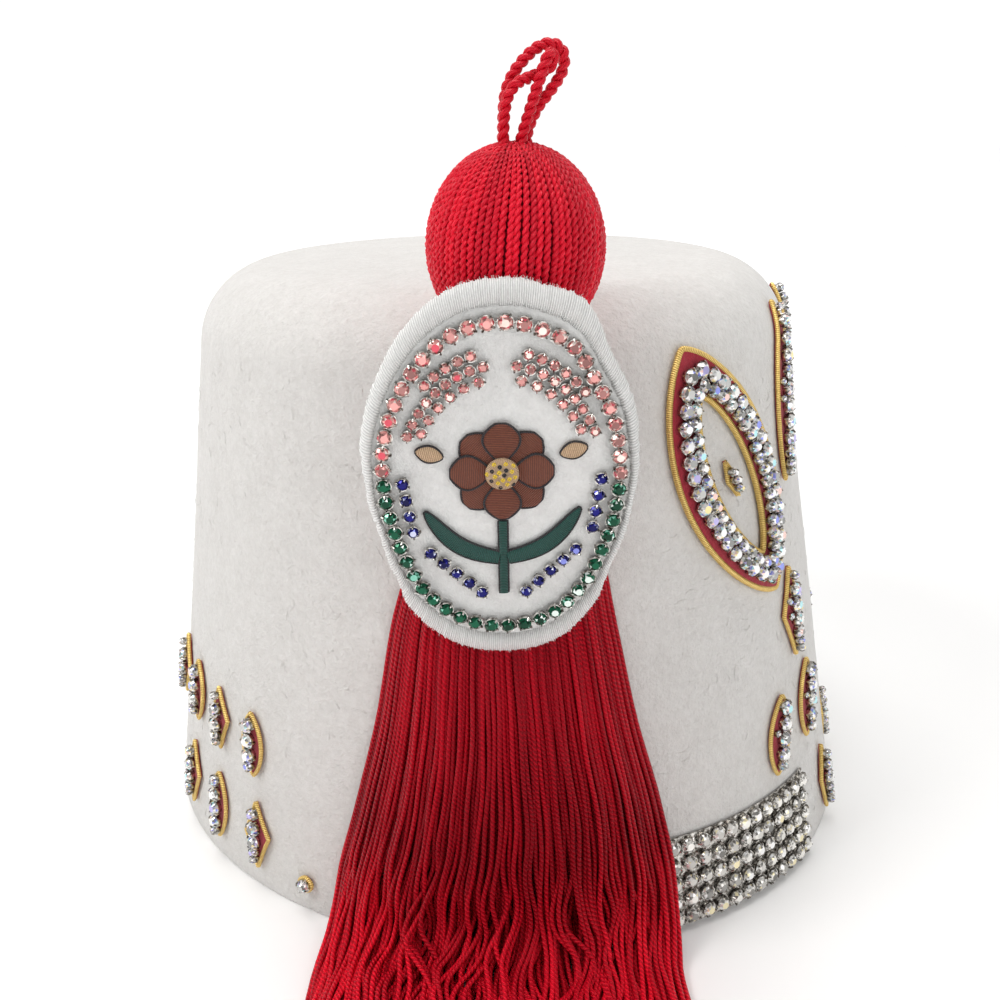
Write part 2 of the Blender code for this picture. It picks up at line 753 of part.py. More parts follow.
def sprig_outline(unit):
    """A stem with a leaf to each side, as one outline."""
    half = STEM * unit
    tip = Vector((15.0, -5.5)) * unit
    right = [Vector((half, -24.0 * unit))]
    right += bulged((half, -18.5 * unit), tip, -3.0 * unit, 4)
    right += bulged(tip, (half, -13.5 * unit), -1.6 * unit, 4)
    right += [Vector((half, -13.5 * unit)), Vector((half, -8.4 * unit))]
    return right + [Vector((-point.x, point.y)) for point in right[::-1]]


def make_spray(name, ends, low, group, material, seat):
    """A straight run of stones, as a tube that lies on the felt."""
    curve = bpy.data.curves.new(name, "CURVE")
    curve.dimensions = "3D"
    curve.bevel_depth = SPRAY_RADIUS
    curve.bevel_resolution = 2
    curve.use_fill_caps = True
    spline = curve.splines.new("POLY")
    spline.points.add(1)
    for knot, point in zip(spline.points, ends):
        knot.co = (point[0], point[1], low + SPRAY_RADIUS, 1.0)
    spray = linked(name, curve, group, material)
    spray.parent = seat


def make_embroidery(group, looks, seat, low):
    """A bouquet in raised satin stitch under two garlands of stones, with sprays of stones beside it."""
    high = low + EMBROIDERY
    unit = CHAIN_HEIGHT / EMBROIDERY_SPAN
    flower = (0.0, 2.5 * unit)
    heart = 3.2 * unit
    petals = petal_outline(PETALS, 9.8 * unit, heart * 1.9)
    flat_piece("badge_flower", petals, low, high, looks["brown thread"], group, seat, flower)
    centre = [(heart * cos(2 * pi * i / 12), heart * sin(2 * pi * i / 12)) for i in range(12)]
    top = high + GAP
    flat_piece(
        "badge_flower_centre", centre, top, top + EMBROIDERY, looks["tan thread"], group, seat, flower
    )
    flat_piece("badge_sprig", sprig_outline(unit), low, high, looks["teal thread"], group, seat)
    for side, word in ((-1, "left"), (1, "right")):
        bud = pointed_oval(5.4 * unit, 3.6 * unit, 8)
        outline = turned_outline(bud, -side * radians(74), (side * 13.6 * unit, 6.5 * unit))
        flat_piece("badge_bud_" + word, outline, low, high, looks["tan thread"], group, seat)
        turns = (96, 158) if side < 0 else (22, 84)
        outline = crescent(16.2 * unit, 22.6 * unit, *turns, 8, 1.22)
        flat_piece("badge_field_" + word, outline, low, low + CUP_HEIGHT, looks["pink stone"], group, seat)
        for number, ends in enumerate(SPRAYS, 1):
            points = [(side * x * unit, y * unit) for x, y in ends]
            make_spray(f"badge_spray_{number}_{word}", points, low, group, looks["blue stone"], seat)


def wall_mapper(turn, height, tilt):
    """Maps a flat ornament onto the wall: sideways, upward and lift above the felt, about a turn round the
    oval in degrees and a height over the rim. tilt turns the ornament to the left."""
    middle = radians(turn)
    rise = height / cos(LEAN)
    along, across, _, _ = crown_profile(rise)
    pace = hypot(along * sin(middle), across * cos(middle))

    def on_wall(u, v, lift):
        side = u * cos(tilt) - v * sin(tilt)
        up = u * sin(tilt) + v * cos(tilt)
        here = middle + side / pace
        semi_x, semi_y, level, slope = crown_profile(rise + up)
        flat = Vector((cos(here) / semi_x, sin(here) / semi_y, 0)).normalized() * cos(slope)
        outward = flat + Vector((0, 0, sin(slope)))
        return Vector((semi_x * cos(here), semi_y * sin(here), level)) + outward * lift

    return on_wall


def lozenge(length, width, sides):
    """A diamond's outline with slightly hollow sides, as many points as the other motifs."""
    outline = []
    for i in range(sides):
        turn = 2 * pi * i / sides
        pull = 1 / (abs(cos(turn)) + abs(sin(turn))) ** 1.15
        outline.append((width / 2 * pull * cos(turn), length / 2 * pull * sin(turn)))
    return outline


def make_motif(name, outline, on_wall, group, material):
    """A filled motif: a pad with a raised cord round its edge, shaped to the wall."""
    inner = []
    for x, y in outline:
        kept = 1 - MOTIF_EDGE_WIDTH / hypot(x, y)
        inner.append((x * kept, y * kept))
    rings = [
        [on_wall(x, y, GAP) for x, y in outline],
        [on_wall(x, y, GAP + MOTIF_EDGE_RISE) for x, y in outline],
        [on_wall(x, y, GAP + MOTIF_RISE) for x, y in inner],
    ]
    shape = skinned(rings, on_wall(0, 0, GAP), on_wall(0, 0, GAP + MOTIF_RISE))
    finished(name, shape, material, group, place=on_wall(0, 0, 0))


def make_long_motif(name, length, width, on_wall, group, material):
    """A leaf too long for one flat pad, lofted along its length so that it follows the shoulder."""
    rings = []
    for step in range(1, LONG_MOTIF_STEPS):
        turn = pi * step / LONG_MOTIF_STEPS
        half = width / 2 * sin(turn) ** 0.8
        along = -length / 2 * cos(turn)
        corners = (
            (-half, GAP),
            (-half, GAP + MOTIF_EDGE_RISE),
            (0.0, GAP + MOTIF_RISE),
            (half, GAP + MOTIF_EDGE_RISE),
            (half, GAP),
        )
        rings.append([on_wall(x, along, lift) for x, lift in corners])
    ends = [on_wall(0.0, end * length / 2, GAP + MOTIF_RISE / 2) for end in (-1, 1)]
    finished(name, skinned(rings, *ends), material, group, place=on_wall(0, 0, 0))


def ring_line(inset, turn):
    """A point of the big pointed ring's outline, a distance inside its outer edge."""
    side = abs(cos(turn)) ** 1.5 * (RING_WIDTH / 2 - inset)
    return Vector((side if cos(turn) > 0 else -side, (RING_LENGTH / 2 - inset * 1.35) * sin(turn)))


def make_ring(word, on_wall, group, looks):
    """The big pointed ring: a felt pad, gold cords at its two edges and the crystals on it."""
    turns = [2 * pi * i / RING_SIDES for i in range(RING_SIDES)]
    cord = CORD_RADIUS

    def strip(name, outside, inside, low, high, material):
        rings = []
        for turn in turns:
            out = ring_line(outside, turn)
            into = ring_line(inside, turn)
            corners = ((out, low), (out, high), (into, high), (into, low))
            rings.append([on_wall(point.x, point.y, lift) for point, lift in corners])
        finished(name + word, skinned(rings, around=True), material, group, place=on_wall(0, 0, 0))

    def edging(name, line):
        rings = []
        for turn in turns:
            out = ring_line(line - cord, turn)
            into = ring_line(line + cord, turn)
            middle = (out + into) / 2
            half = (out - into) / 2
            ring = []
            for k in range(6):
                angle = pi * k / 3
                point = middle + half * cos(angle)
                ring.append(on_wall(point.x, point.y, GAP + cord * (1 + sin(angle))))
            rings.append(ring)
        finished(name + word, skinned(rings, around=True), looks["gold cord"], group, place=on_wall(0, 0, 0))

    near = 2 * cord + GAP
    far = RING_FLANK - 2 * cord - GAP
    edging("ring_cord_outer_", cord)
    edging("ring_cord_inner_", RING_FLANK - cord)
    strip("ring_felt_", near, far, GAP, GAP + PAD_THICKNESS, looks["red felt"])
    low = 2 * GAP + PAD_THICKNESS
    strip("ring_crystals_", near + RING_FELT_EDGE, far, low, low + CRYSTAL_HEIGHT, looks["clear crystal"])


def band_end():
    """The turn round the rim's oval at which the band stops beside the fringe's foot."""
    rows = [row for row in FLOOR_SECTIONS if row.turn < 90]
    aside = max(row.width * FRINGE_WIDTH / 2 + row.aside * BALL_ASIDE for row in rows) + BAND_CLEARANCE
    along = BASE_LENGTH / 2 * cos(TASSEL_TURN)
    across = BASE_WIDTH / 2 * sin(TASSEL_TURN)
    return acos(aside / hypot(along, across)) - atan2(across, along)


def make_band(word, side, group, material):
    """A panel of crystal rows along the rim, five stones high."""
    rings = []
    end = band_end()
    for i in range(BAND_STEPS + 1):
        turn = side * (BAND_START + (end - BAND_START) * i / BAND_STEPS)
        on_wall = wall_mapper(degrees(turn), BAND_FOOT, 0.0)
        corners = (
            (0.0, GAP),
            (BAND_HEIGHT, GAP),
            (BAND_HEIGHT, GAP + BAND_THICKNESS),
            (0.0, GAP + BAND_THICKNESS),
        )
        rings.append([on_wall(0.0, rise, lift) for rise, lift in corners])
    middle = sum(rings[BAND_STEPS // 2], Vector()) / 4
    finished("crystal_band_" + word, skinned(rings), material, group, place=middle)


# Filled motifs on the wall: turn round the oval in degrees, height as a share of the hat's, length and width
# as shares of the motif's, tilt in degrees to the left, and outline
Motif = namedtuple("Motif", "name turn height length width tilt outline")
MOTIFS = (
    Motif("ring_drop", 35.3, 0.705, 0.60, 0.45, 22, lozenge),
    Motif("front_lozenge", 20.0, 0.445, 1.40, 1.20, 0, lozenge),
    Motif("low_leaf_1", 28.0, 0.255, 1.20, 1.05, -14, pointed_oval),
    Motif("low_leaf_2", 17.0, 0.275, 1.20, 1.05, -14, pointed_oval),
    Motif("rim_lozenge", 11.0, 0.085, 1.15, 0.85, 0, lozenge),
    Motif("back_upper_1", 118.0, 0.262, 1.00, 0.90, 6, pointed_oval),
    Motif("back_upper_2", 127.5, 0.270, 1.00, 1.05, 6, lozenge),
    Motif("back_upper_3", 137.0, 0.278, 1.00, 0.90, 6, pointed_oval),
    Motif("back_upper_4", 146.5, 0.286, 1.00, 1.05, 6, lozenge),
    Motif("back_lower_1", 116.5, 0.100, 1.10, 1.10, 4, lozenge),
    Motif("back_lower_2", 127.0, 0.104, 1.10, 0.90, 4, pointed_oval),
    Motif("back_lower_3", 138.0, 0.108, 1.10, 1.10, 4, lozenge),
    Motif("back_dot", 106.5, 0.053, 0.28, 0.56, 0, pointed_oval),
)
RING_TURN = 34.8
RING_HEIGHT = 0.705
RING_TILT = 22.0
TALL_LEAF_TURN = 14.3
TALL_LEAF_HEIGHT = 0.80
TALL_LEAF_TILT = -11.0
TALL_LEAF_LENGTH = 44.0 * MM


def make_wall_ornaments(group, looks):
    """Ornaments on the wearer's right, at negative turns, and their mirror image on the left."""
    for word, side in (("right", -1), ("left", 1)):
        on_wall = wall_mapper(side * RING_TURN, RING_HEIGHT * HAT_HEIGHT, -side * radians(RING_TILT))
        make_ring(word, on_wall, group, looks)
        make_band(word, side, group, looks["clear crystal"])
        for row in MOTIFS:
            outline = row.outline(row.length * MOTIF_LENGTH, row.width * MOTIF_WIDTH, MOTIF_SIDES)
            on_wall = wall_mapper(side * row.turn, row.height * HAT_HEIGHT, -side * radians(row.tilt))
            make_motif(row.name + "_" + word, outline, on_wall, group, looks["gold cord"])
        on_wall = wall_mapper(
            side * TALL_LEAF_TURN, TALL_LEAF_HEIGHT * HAT_HEIGHT, -side * radians(TALL_LEAF_TILT)
        )
        make_long_motif(
            "tall_leaf_" + word, TALL_LEAF_LENGTH, MOTIF_WIDTH, on_wall, group, looks["gold cord"]
        )


def main():
    for old in list(bpy.data.objects):
        bpy.data.objects.remove(old)
    group = bpy.data.collections.new("fez")
    cutters = bpy.data.collections.new("cutters")
    for collection in (group, cutters):
        bpy.context.scene.collection.children.link(collection)
    looks = {
        "white felt": look("white felt", (0.78, 0.76, 0.73), 0.95),
        "white thread": look("white thread", (0.84, 0.84, 0.82), 0.6),
        "red silk": look("red silk", (0.55, 0.004, 0.02), 0.45),
        "red felt": look("red felt", (0.38, 0.005, 0.02), 0.9),
        "gold cord": look("gold cord", (0.68, 0.38, 0.08), 0.35, 0.8),
        "clear crystal": look("clear crystal", (0.72, 0.73, 0.75), 0.12, 0.4),
        "pink stone": look("pink stone", (0.80, 0.30, 0.30), 0.12, 0.3),
        "green stone": look("green stone", (0.003, 0.11, 0.05), 0.12, 0.3),
        "blue stone": look("blue stone", (0.007, 0.007, 0.22), 0.12, 0.3),
        "brown thread": look("brown thread", (0.15, 0.04, 0.02), 0.6),
        "teal thread": look("teal thread", (0.006, 0.055, 0.05), 0.6),
        "tan thread": look("tan thread", (0.58, 0.38, 0.2), 0.6),
        "steel": look("steel", (0.6, 0.6, 0.62), 0.3, 1.0),
    }
    tassel = bpy.data.objects.new("tassel_seat", None)
    group.objects.link(tassel)
    tassel.rotation_euler = (0, 0, TASSEL_TURN)

    crown = make_crown(group, looks["white felt"])
    ball = make_ball(group, looks["red silk"], tassel)
    tip = make_pin(group, looks["steel"], tassel)
    hole = PIN_RADIUS + PIN_CLEARANCE
    through = cutter("crown_hole", hole, SHOULDER - 2 * FELT, SHOULDER + FELT, cutters, tassel)
    cut(crown, through)
    blind = cutter("ball_hole", hole, SHOULDER - FELT, tip + PIN_CLEARANCE, cutters, tassel)
    cut(ball, blind)
    make_loop("tassel_loop_outer", OUTER_LOOP, group, looks["red silk"], tassel)
    make_loop("tassel_loop_inner", INNER_LOOP, group, looks["red silk"], tassel)
    make_fringe(group, looks["red silk"], tassel)
    make_badge(group, looks, tassel)
    make_wall_ornaments(group, looks)


main()
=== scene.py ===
"""Looks of the white felt fez: fine felt, wound and twisted red cord, stitched badge, cut stones in cups,
gold cord and red felt, with a pale floor, soft studio light and the photograph's camera. Metres, in the frame
of the solids: the rim lies in the plane Z = 0, the wearer faces +X, and the tassel hangs near -Y."""

from collections import namedtuple
from math import asin, atan2, cos, degrees, hypot, pi, radians, sin, sqrt, tan
from random import Random

import bmesh
import bpy
from mathutils import Matrix, Vector, noise


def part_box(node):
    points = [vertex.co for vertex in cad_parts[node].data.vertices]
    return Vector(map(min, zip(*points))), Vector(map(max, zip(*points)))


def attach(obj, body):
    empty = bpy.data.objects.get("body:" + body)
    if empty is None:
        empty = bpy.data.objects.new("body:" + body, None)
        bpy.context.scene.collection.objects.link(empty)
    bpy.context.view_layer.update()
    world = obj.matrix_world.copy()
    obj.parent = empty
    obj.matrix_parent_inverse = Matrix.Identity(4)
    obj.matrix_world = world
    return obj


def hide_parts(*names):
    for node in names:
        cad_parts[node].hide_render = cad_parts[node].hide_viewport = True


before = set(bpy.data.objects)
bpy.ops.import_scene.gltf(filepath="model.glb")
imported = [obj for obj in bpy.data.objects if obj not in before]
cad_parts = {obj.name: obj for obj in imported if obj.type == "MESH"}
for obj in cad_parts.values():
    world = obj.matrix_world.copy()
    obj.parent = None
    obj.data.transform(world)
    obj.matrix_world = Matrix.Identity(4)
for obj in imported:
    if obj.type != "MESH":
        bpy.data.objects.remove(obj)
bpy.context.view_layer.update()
BODY = "root"

MM = 0.001
GAP = 0.3 * MM

# Crown, from the solid's box and the sizes that the box doesn't give
CROWN_LOW, CROWN_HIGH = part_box("crown")
HAT_HEIGHT = CROWN_HIGH[2]
BASE_LENGTH = CROWN_HIGH[0] - CROWN_LOW[0]
BASE_WIDTH = CROWN_HIGH[1] - CROWN_LOW[1]
TOP_LENGTH = 148.2 * MM
TOP_WIDTH = 137.8 * MM
SHOULDER = 20.5 * MM
TOP_DOME = 1.2 * MM
FELT = 2.6 * MM
LEAN = (atan2(BASE_LENGTH - TOP_LENGTH, 2 * HAT_HEIGHT) + atan2(BASE_WIDTH - TOP_WIDTH, 2 * HAT_HEIGHT)) / 2
SHOULDER_HEIGHT = HAT_HEIGHT - TOP_DOME - SHOULDER
WALL_HEIGHT = SHOULDER_HEIGHT + SHOULDER * sin(LEAN)
WALL_RUN = WALL_HEIGHT / cos(LEAN)

# Tassel and badge
TASSEL_TURN = radians(16.2)
BALL_RADIUS = 17.4 * MM
BALL_TALL = 19.4 * MM
LOOP_HEIGHT = 15.7 * MM
LOOP_SPREAD = 8.4 * MM
LOOP_SPACING = 1.6 * MM
LOOP_CORD_RADIUS = 1.2 * MM
NECK_LEAN = radians(10.0)
NECK_THICKNESS = 12.0 * MM
NECK_SHARE = 0.27
TUCK = 4.2 * MM
TUCK_WIDTH = 0.55
TUCK_THICKNESS = 0.80
FRINGE_WIDTH = 90.0 * MM
FRINGE_THICKNESS = 10.0 * MM
FOOT_BEND = 14.0 * MM
TAIL_RUN = 75.0 * MM
STRAND_RADIUS = 0.58 * MM
BADGE_WIDTH = 52.8 * MM
BADGE_HEIGHT = 77.8 * MM
BADGE_DROP = 40.2 * MM
BADGE_LEAN = radians(5.0)
BADGE_FELT = 1.6 * MM
BORDER_THICKNESS = 3.4 * MM
BORDER_SHARE = 0.85
CHAIN_WIDTH = 45.2 * MM
CHAIN_HEIGHT = 63.2 * MM
STONE_RADIUS = 1.4 * MM
STONE_PITCH = 3.35 * MM
EMBROIDERY = 0.9 * MM

# The embroidery is drawn in units of which the stone chain's height has 63.2
UNIT = CHAIN_HEIGHT / 63.2

# Ornaments on the wall
RING_LENGTH = 68.0 * MM
RING_WIDTH = 31.0 * MM
RING_FLANK = 9.8 * MM
CORD_RADIUS = 0.75 * MM
PAD_THICKNESS = 1.2 * MM
MOTIF_LENGTH = 18.0 * MM
MOTIF_WIDTH = 9.0 * MM
TALL_LEAF_LENGTH = 44.0 * MM
BAND_HEIGHT = 24.0 * MM
BAND_FOOT = 0.8 * MM

TASSEL = Matrix.Rotation(TASSEL_TURN, 4, "Z")
ball_low, ball_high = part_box("tassel_ball")
BALL = TASSEL.inverted() @ Vector([(ball_low[k] + ball_high[k]) / 2 for k in range(3)])
BALL_ASIDE = BALL.x
BALL_OUT = -BALL.y
BALL_UP = BALL.z
BADGE_HUG = hypot(BALL_RADIUS * cos(BADGE_LEAN), BALL_TALL * sin(BADGE_LEAN)) + GAP
BADGE_BACK = BALL_OUT + BADGE_HUG * cos(BADGE_LEAN) - BADGE_DROP * sin(BADGE_LEAN)
BADGE_MIDDLE = BALL_UP - BADGE_HUG * sin(BADGE_LEAN) - BADGE_DROP * cos(BADGE_LEAN)
BADGE = (
    TASSEL
    @ Matrix.Translation((0, -BADGE_BACK, BADGE_MIDDLE))
    @ Matrix.Rotation(pi / 2 + BADGE_LEAN, 4, "X")
)
BADGE_FRONT = BORDER_THICKNESS / 2 + BADGE_FELT / 2
BADGE_LOW = BADGE_FRONT + GAP

# The badge's hand-cut edge: its reach as a share of a true oval's, by angle from its right-hand side
BADGE_EDGE = (
    (8, 0.995), (22, 1.015), (38, 0.998), (56, 1.060), (75, 1.010), (92, 1.000), (117, 1.010), (140, 1.012),
    (165, 1.022), (182, 0.985), (197, 0.950), (212, 0.965), (224, 1.010), (243, 1.010), (268, 0.992),
    (297, 1.012), (313, 0.995), (330, 0.945), (348, 0.960),
)

# The two cord loops over the ball: sideways, upward and toward the crown, as shares of the loops' spread,
# height and spacing
OUTER_LOOP = (
    (-0.24, 0.00, 1.0), (-0.19, 0.42, 1.0), (-0.03, 0.66, 1.0), (0.27, 0.86, 1.0), (0.62, 0.99, 1.2),
    (0.93, 1.00, 1.3), (1.12, 0.89, 1.3), (1.08, 0.71, 1.2), (0.84, 0.52, 1.0), (0.56, 0.34, 1.0),
    (0.37, 0.15, 1.0), (0.29, 0.00, 1.0),
)
INNER_LOOP = (
    (-0.24, 0.00, -1.0), (-0.21, 0.25, -1.0), (-0.14, 0.43, -1.0), (0.03, 0.57, -0.9), (0.30, 0.64, 0.0),
    (0.56, 0.69, 0.9), (0.78, 0.75, 0.5), (0.87, 0.84, -0.2), (0.80, 0.91, -0.9), (0.68, 0.80, -1.1),
    (0.55, 0.61, -1.1), (0.40, 0.38, -1.0), (0.16, 0.00, -1.0),
)


def in_tassel(aside, out, up):
    return TASSEL @ Vector((aside, -out, up))


def crown_profile(rise):
    """Semi-axes, height and tilt of the outer face at a distance up the wall and over the shoulder."""
    wall_rise = min(rise, WALL_RUN)
    height = wall_rise * cos(LEAN)
    taper = height / HAT_HEIGHT
    along = BASE_LENGTH / 2 - (BASE_LENGTH - TOP_LENGTH) / 2 * taper
    across = BASE_WIDTH / 2 - (BASE_WIDTH - TOP_WIDTH) / 2 * taper
    tilt = LEAN + (rise - wall_rise) / SHOULDER
    drawn_in = SHOULDER * (cos(tilt) - cos(LEAN))
    height += SHOULDER * (sin(tilt) - sin(LEAN))
    return along + drawn_in, across + drawn_in, height, tilt


def crown_reach(aside, height):
    """How far the crown's outer face stands out the tassel's way, aside from the tassel's middle."""
    if height <= WALL_HEIGHT:
        along, across, _, _ = crown_profile(max(height, 0.0) / cos(LEAN))
    else:
        tilt = asin(min(1.0, (height - SHOULDER_HEIGHT) / SHOULDER))
        along, across, _, _ = crown_profile(WALL_RUN + SHOULDER * (tilt - LEAN))
    out = Vector((sin(TASSEL_TURN) / along, -cos(TASSEL_TURN) / across))
    side = Vector((cos(TASSEL_TURN) / along, sin(TASSEL_TURN) / across)) * aside
    square = out.dot(out)
    half = out.dot(side)
    return (sqrt(max(half**2 - square * (side.dot(side) - 1), 0.0)) - half) / square


def wall_mapper(turn, height, tilt):
    """Maps a flat ornament onto the wall: sideways, upward and lift above the felt, about a turn round the
    oval in degrees and a height over the rim. tilt turns the ornament to the left."""
    middle = radians(turn)
    rise = height / cos(LEAN)
    along, across, _, _ = crown_profile(rise)
    pace = hypot(along * sin(middle), across * cos(middle))

    def on_wall(u, v, lift):
        side = u * cos(tilt) - v * sin(tilt)
        up = u * sin(tilt) + v * cos(tilt)
        here = middle + side / pace
        semi_x, semi_y, level, slope = crown_profile(rise + up)
        flat = Vector((cos(here) / semi_x, sin(here) / semi_y, 0)).normalized() * cos(slope)
        outward = flat + Vector((0, 0, sin(slope)))
        return Vector((semi_x * cos(here), semi_y * sin(here), level)) + outward * lift

    return on_wall


def on_badge(x, y, z):
    """A point of the badge: sideways and upward from its middle, and how far over its back."""
    return BADGE @ Vector((x, y, z))


def ease(share):
    """A smooth step from 0 to 1."""
    share = max(0.0, min(1.0, share))
    return share * share * (3 - 2 * share)


def circle(count):
    """Even angles once round."""
    return [2 * pi * i / count for i in range(count)]


def lengths_along(path):
    """How far each point of a path lies from its start."""
    lengths = [0.0]
    for here, there in zip(path, path[1:]):
        lengths.append(lengths[-1] + (there - here).length)
    return lengths


def frames_along(path, closed=False):
    """At each point of a path the way ahead, and a way aside that turns no more than it has to."""
    last = len(path) - 1
    frames = []
    side = None
    for i in range(len(path)):
        there = path[(i + 1) % len(path)] if closed else path[min(i + 1, last)]
        ahead = (there - (path[i - 1] if closed else path[max(i - 1, 0)])).normalized()
        if side is None:
            side = ahead.orthogonal().normalized()
        side = (side - ahead * side.dot(ahead)).normalized()
        frames.append((ahead, side))
    return frames


def smooth_route(points, steps):
    """Points along a smooth curve through the points given (Catmull-Rom)."""
    points = [Vector(point) for point in points]
    ends = [points[0] * 2 - points[1], *points, points[-1] * 2 - points[-2]]
    route = []
    for before, here, there, after in zip(ends, ends[1:], ends[2:], ends[3:]):
        for step in range(steps):
            t = step / steps
            bend = here * 2 + (there - before) * t
            bend += (before * 2 - here * 5 + there * 4 - after) * t**2
            bend += (here * 3 - before - there * 3 + after) * t**3
            route.append(bend / 2)
    return route + [points[-1]]


def evenly(points, pitch, closed=False):
    """Points at an even pitch along a path."""
    path = list(points) + ([points[0]] if closed else [])
    lengths = lengths_along(path)
    count = max(2, round(lengths[-1] / pitch))
    spaces = count if closed else count - 1
    places = []
    k = 0
    for i in range(count):
        wanted = lengths[-1] * i / spaces
        while k < len(path) - 2 and lengths[k + 1] < wanted:
            k += 1
        part = (wanted - lengths[k]) / max(lengths[k + 1] - lengths[k], 1e-9)
        places.append(path[k].lerp(path[k + 1], part))
    return places


# Looks


class Nodes:
    """Short calls for the nodes of a material or a world."""

    def __init__(self, tree):
        self.tree = tree

    def node(self, kind, **settings):
        made = self.tree.nodes.new("ShaderNode" + kind)
        for key, value in settings.items():
            setattr(made, key, value)
        return made

    def feed(self, socket, value):
        """Links an output to a socket, or sets the socket to a number or to a colour."""
        if hasattr(value, "is_output"):
            self.tree.links.new(value, socket)
        else:
            socket.default_value = (*value, 1) if hasattr(value, "__len__") else value

    def maths(self, operation, a, b=0.0):
        made = self.node("Math", operation=operation)
        self.feed(made.inputs[0], a)
        self.feed(made.inputs[1], b)
        return made.outputs[0]

    def ranged(self, value, **limits):
        """A value's range laid on another one and held at its ends."""
        made = self.node("MapRange")
        self.feed(made.inputs["Value"], value)
        for name, limit in limits.items():
            made.inputs[name.replace("_", " ")].default_value = limit
        return made.outputs[0]


class Look(Nodes):
    """A Principled material, with calls for its pattern and relief."""

    def __init__(self, name, colour, roughness, **levels):
        self.material = bpy.data.materials.new(name)
        self.material.use_nodes = True
        super().__init__(self.material.node_tree)
        self.shader = self.tree.nodes["Principled BSDF"]
        self.feed(self.shader.inputs["Base Color"], colour)
        self.shader.inputs["Roughness"].default_value = roughness
        for socket, value in levels.items():
            self.shader.inputs[socket.replace("_", " ")].default_value = value
        self.height = None

    def place(self):
        return self.node("TexCoord").outputs["Object"]

    def speckle(self, scale, detail=2.0, rough=0.5):
        """Noise from 0 to 1; scale is in features a metre."""
        made = self.node("TexNoise")
        self.feed(made.inputs["Vector"], self.place())
        for socket, value in (("Scale", scale), ("Detail", detail), ("Roughness", rough)):
            made.inputs[socket].default_value = value
        return made.outputs[0]

    def waves(self, across, along):
        """A wave from 0 to 1 with so many turns across the map and so many a metre along it."""
        parts = self.node("SeparateXYZ")
        self.feed(parts.inputs[0], self.node("TexCoord").outputs["UV"])
        turns = self.total((parts.outputs[0], across), (parts.outputs[1], along))
        wave = self.maths("SINE", self.maths("MULTIPLY", turns, 2 * pi))
        return self.maths("ADD", self.maths("MULTIPLY", wave, 0.5), 0.5)

    def total(self, *parts):
        """The sum of values, each times its share."""
        parts = [self.maths("MULTIPLY", value, share) for value, share in parts]
        made = parts[0]
        for part in parts[1:]:
            made = self.maths("ADD", made, part)
        return made

    def contrast(self, value, low, gain):
        """A value less its low end, times a gain, held between 0 and 1."""
        made = self.maths("MULTIPLY", self.maths("SUBTRACT", value, low), gain)
        made.node.use_clamp = True
        return made

    def blend(self, factor, dark, light, **settings):
        """A colour between two, for the shader's base colour."""
        made = self.node("Mix", data_type="RGBA", **settings)
        for socket, value in ((0, factor), (6, dark), (7, light)):
            self.feed(made.inputs[socket], value)
        return made.outputs[2]

    def tinted(self, colour):
        """The colour times the mesh's own tint: random tone, stone colours, and the painted light and shade
        of stone facets and fringe strands.
        """
        tint = self.node("VertexColor", layer_name="tint").outputs[0]
        return self.blend(1.0, colour, tint, blend_type="MULTIPLY")

    def paint(self, colour):
        self.feed(self.shader.inputs["Base Color"], colour)

    def emboss(self, height, depth):
        """Bump from a height between 0 and 1 and its depth in metres; a later call lies over the earlier."""
        made = self.node("Bump")
        made.inputs["Distance"].default_value = depth
        made.inputs["Strength"].default_value = 1.0
        self.feed(made.inputs["Height"], height)
        if self.height:
            self.feed(made.inputs["Normal"], self.height)
        self.height = made.outputs[0]
        self.feed(self.shader.inputs["Normal"], self.height)


SILK_SHINE = (1.0, 0.22, 0.26, 1.0)


def felt_look(name, light, dark, fibre, depth=0.10 * MM):
    """Felt: fibres, tufts of them and broad clouds, fibre in features a metre."""
    look = Look(name, light, 0.95, Sheen_Weight=0.25, Sheen_Roughness=0.6)
    fine = look.speckle(fibre, 4.0, 0.65)
    broad = look.speckle(120.0, 3.0, 0.6)
    tufts = look.speckle(0.4 * fibre, 3.0, 0.7)
    shade = look.contrast(look.total((fine, 0.3), (broad, 0.25), (tufts, 0.45)), 0.27, 2.2)
    look.paint(look.blend(shade, dark, light))
    for height, share in ((broad, 1.6), (tufts, 1.8), (fine, 1.0)):
        look.emboss(height, share * depth)
    return look.material


def cord_look(name, dark, light, plies, pitch, depth):
    """Twisted silky cord on a tube's map: plies slant across it, one turn in each pitch, and the grooves
    between them are painted darker as painted shade.
    """
    look = Look(name, light, 0.42, Specular_IOR_Level=0.45, Specular_Tint=SILK_SHINE)
    wave = look.waves(plies, 1.0 / pitch)
    softer = look.maths("MULTIPLY", look.speckle(55.0, 2.0), 0.8)
    # The grooves are both bump and painted shade; soft patches make them shallower
    groove_and_painted_shade = look.maths("MAXIMUM", look.maths("POWER", wave, 0.6), softer)
    strands = look.speckle(5000.0, 2.0, 0.6)
    shade = look.maths("MULTIPLY", groove_and_painted_shade, look.maths("ADD", look.maths("MULTIPLY", strands, 0.5), 0.75))
    look.paint(look.tinted(look.blend(shade, dark, light)))
    look.emboss(groove_and_painted_shade, depth)
    look.emboss(strands, 0.04 * MM)
    return look.material


def ply_look(name, dark, light, roughness):
    """One ply of silky yarn: fine filaments along it."""
    look = Look(name, light, roughness, Specular_IOR_Level=0.8, Specular_Tint=SILK_SHINE)
    fine = look.waves(7.0, 500.0)
    strands = look.speckle(2600.0, 2.0, 0.6)
    look.paint(look.tinted(look.blend(look.total((fine, 0.35), (strands, 0.65)), dark, light)))
    look.emboss(fine, 0.06 * MM)
    return look.material


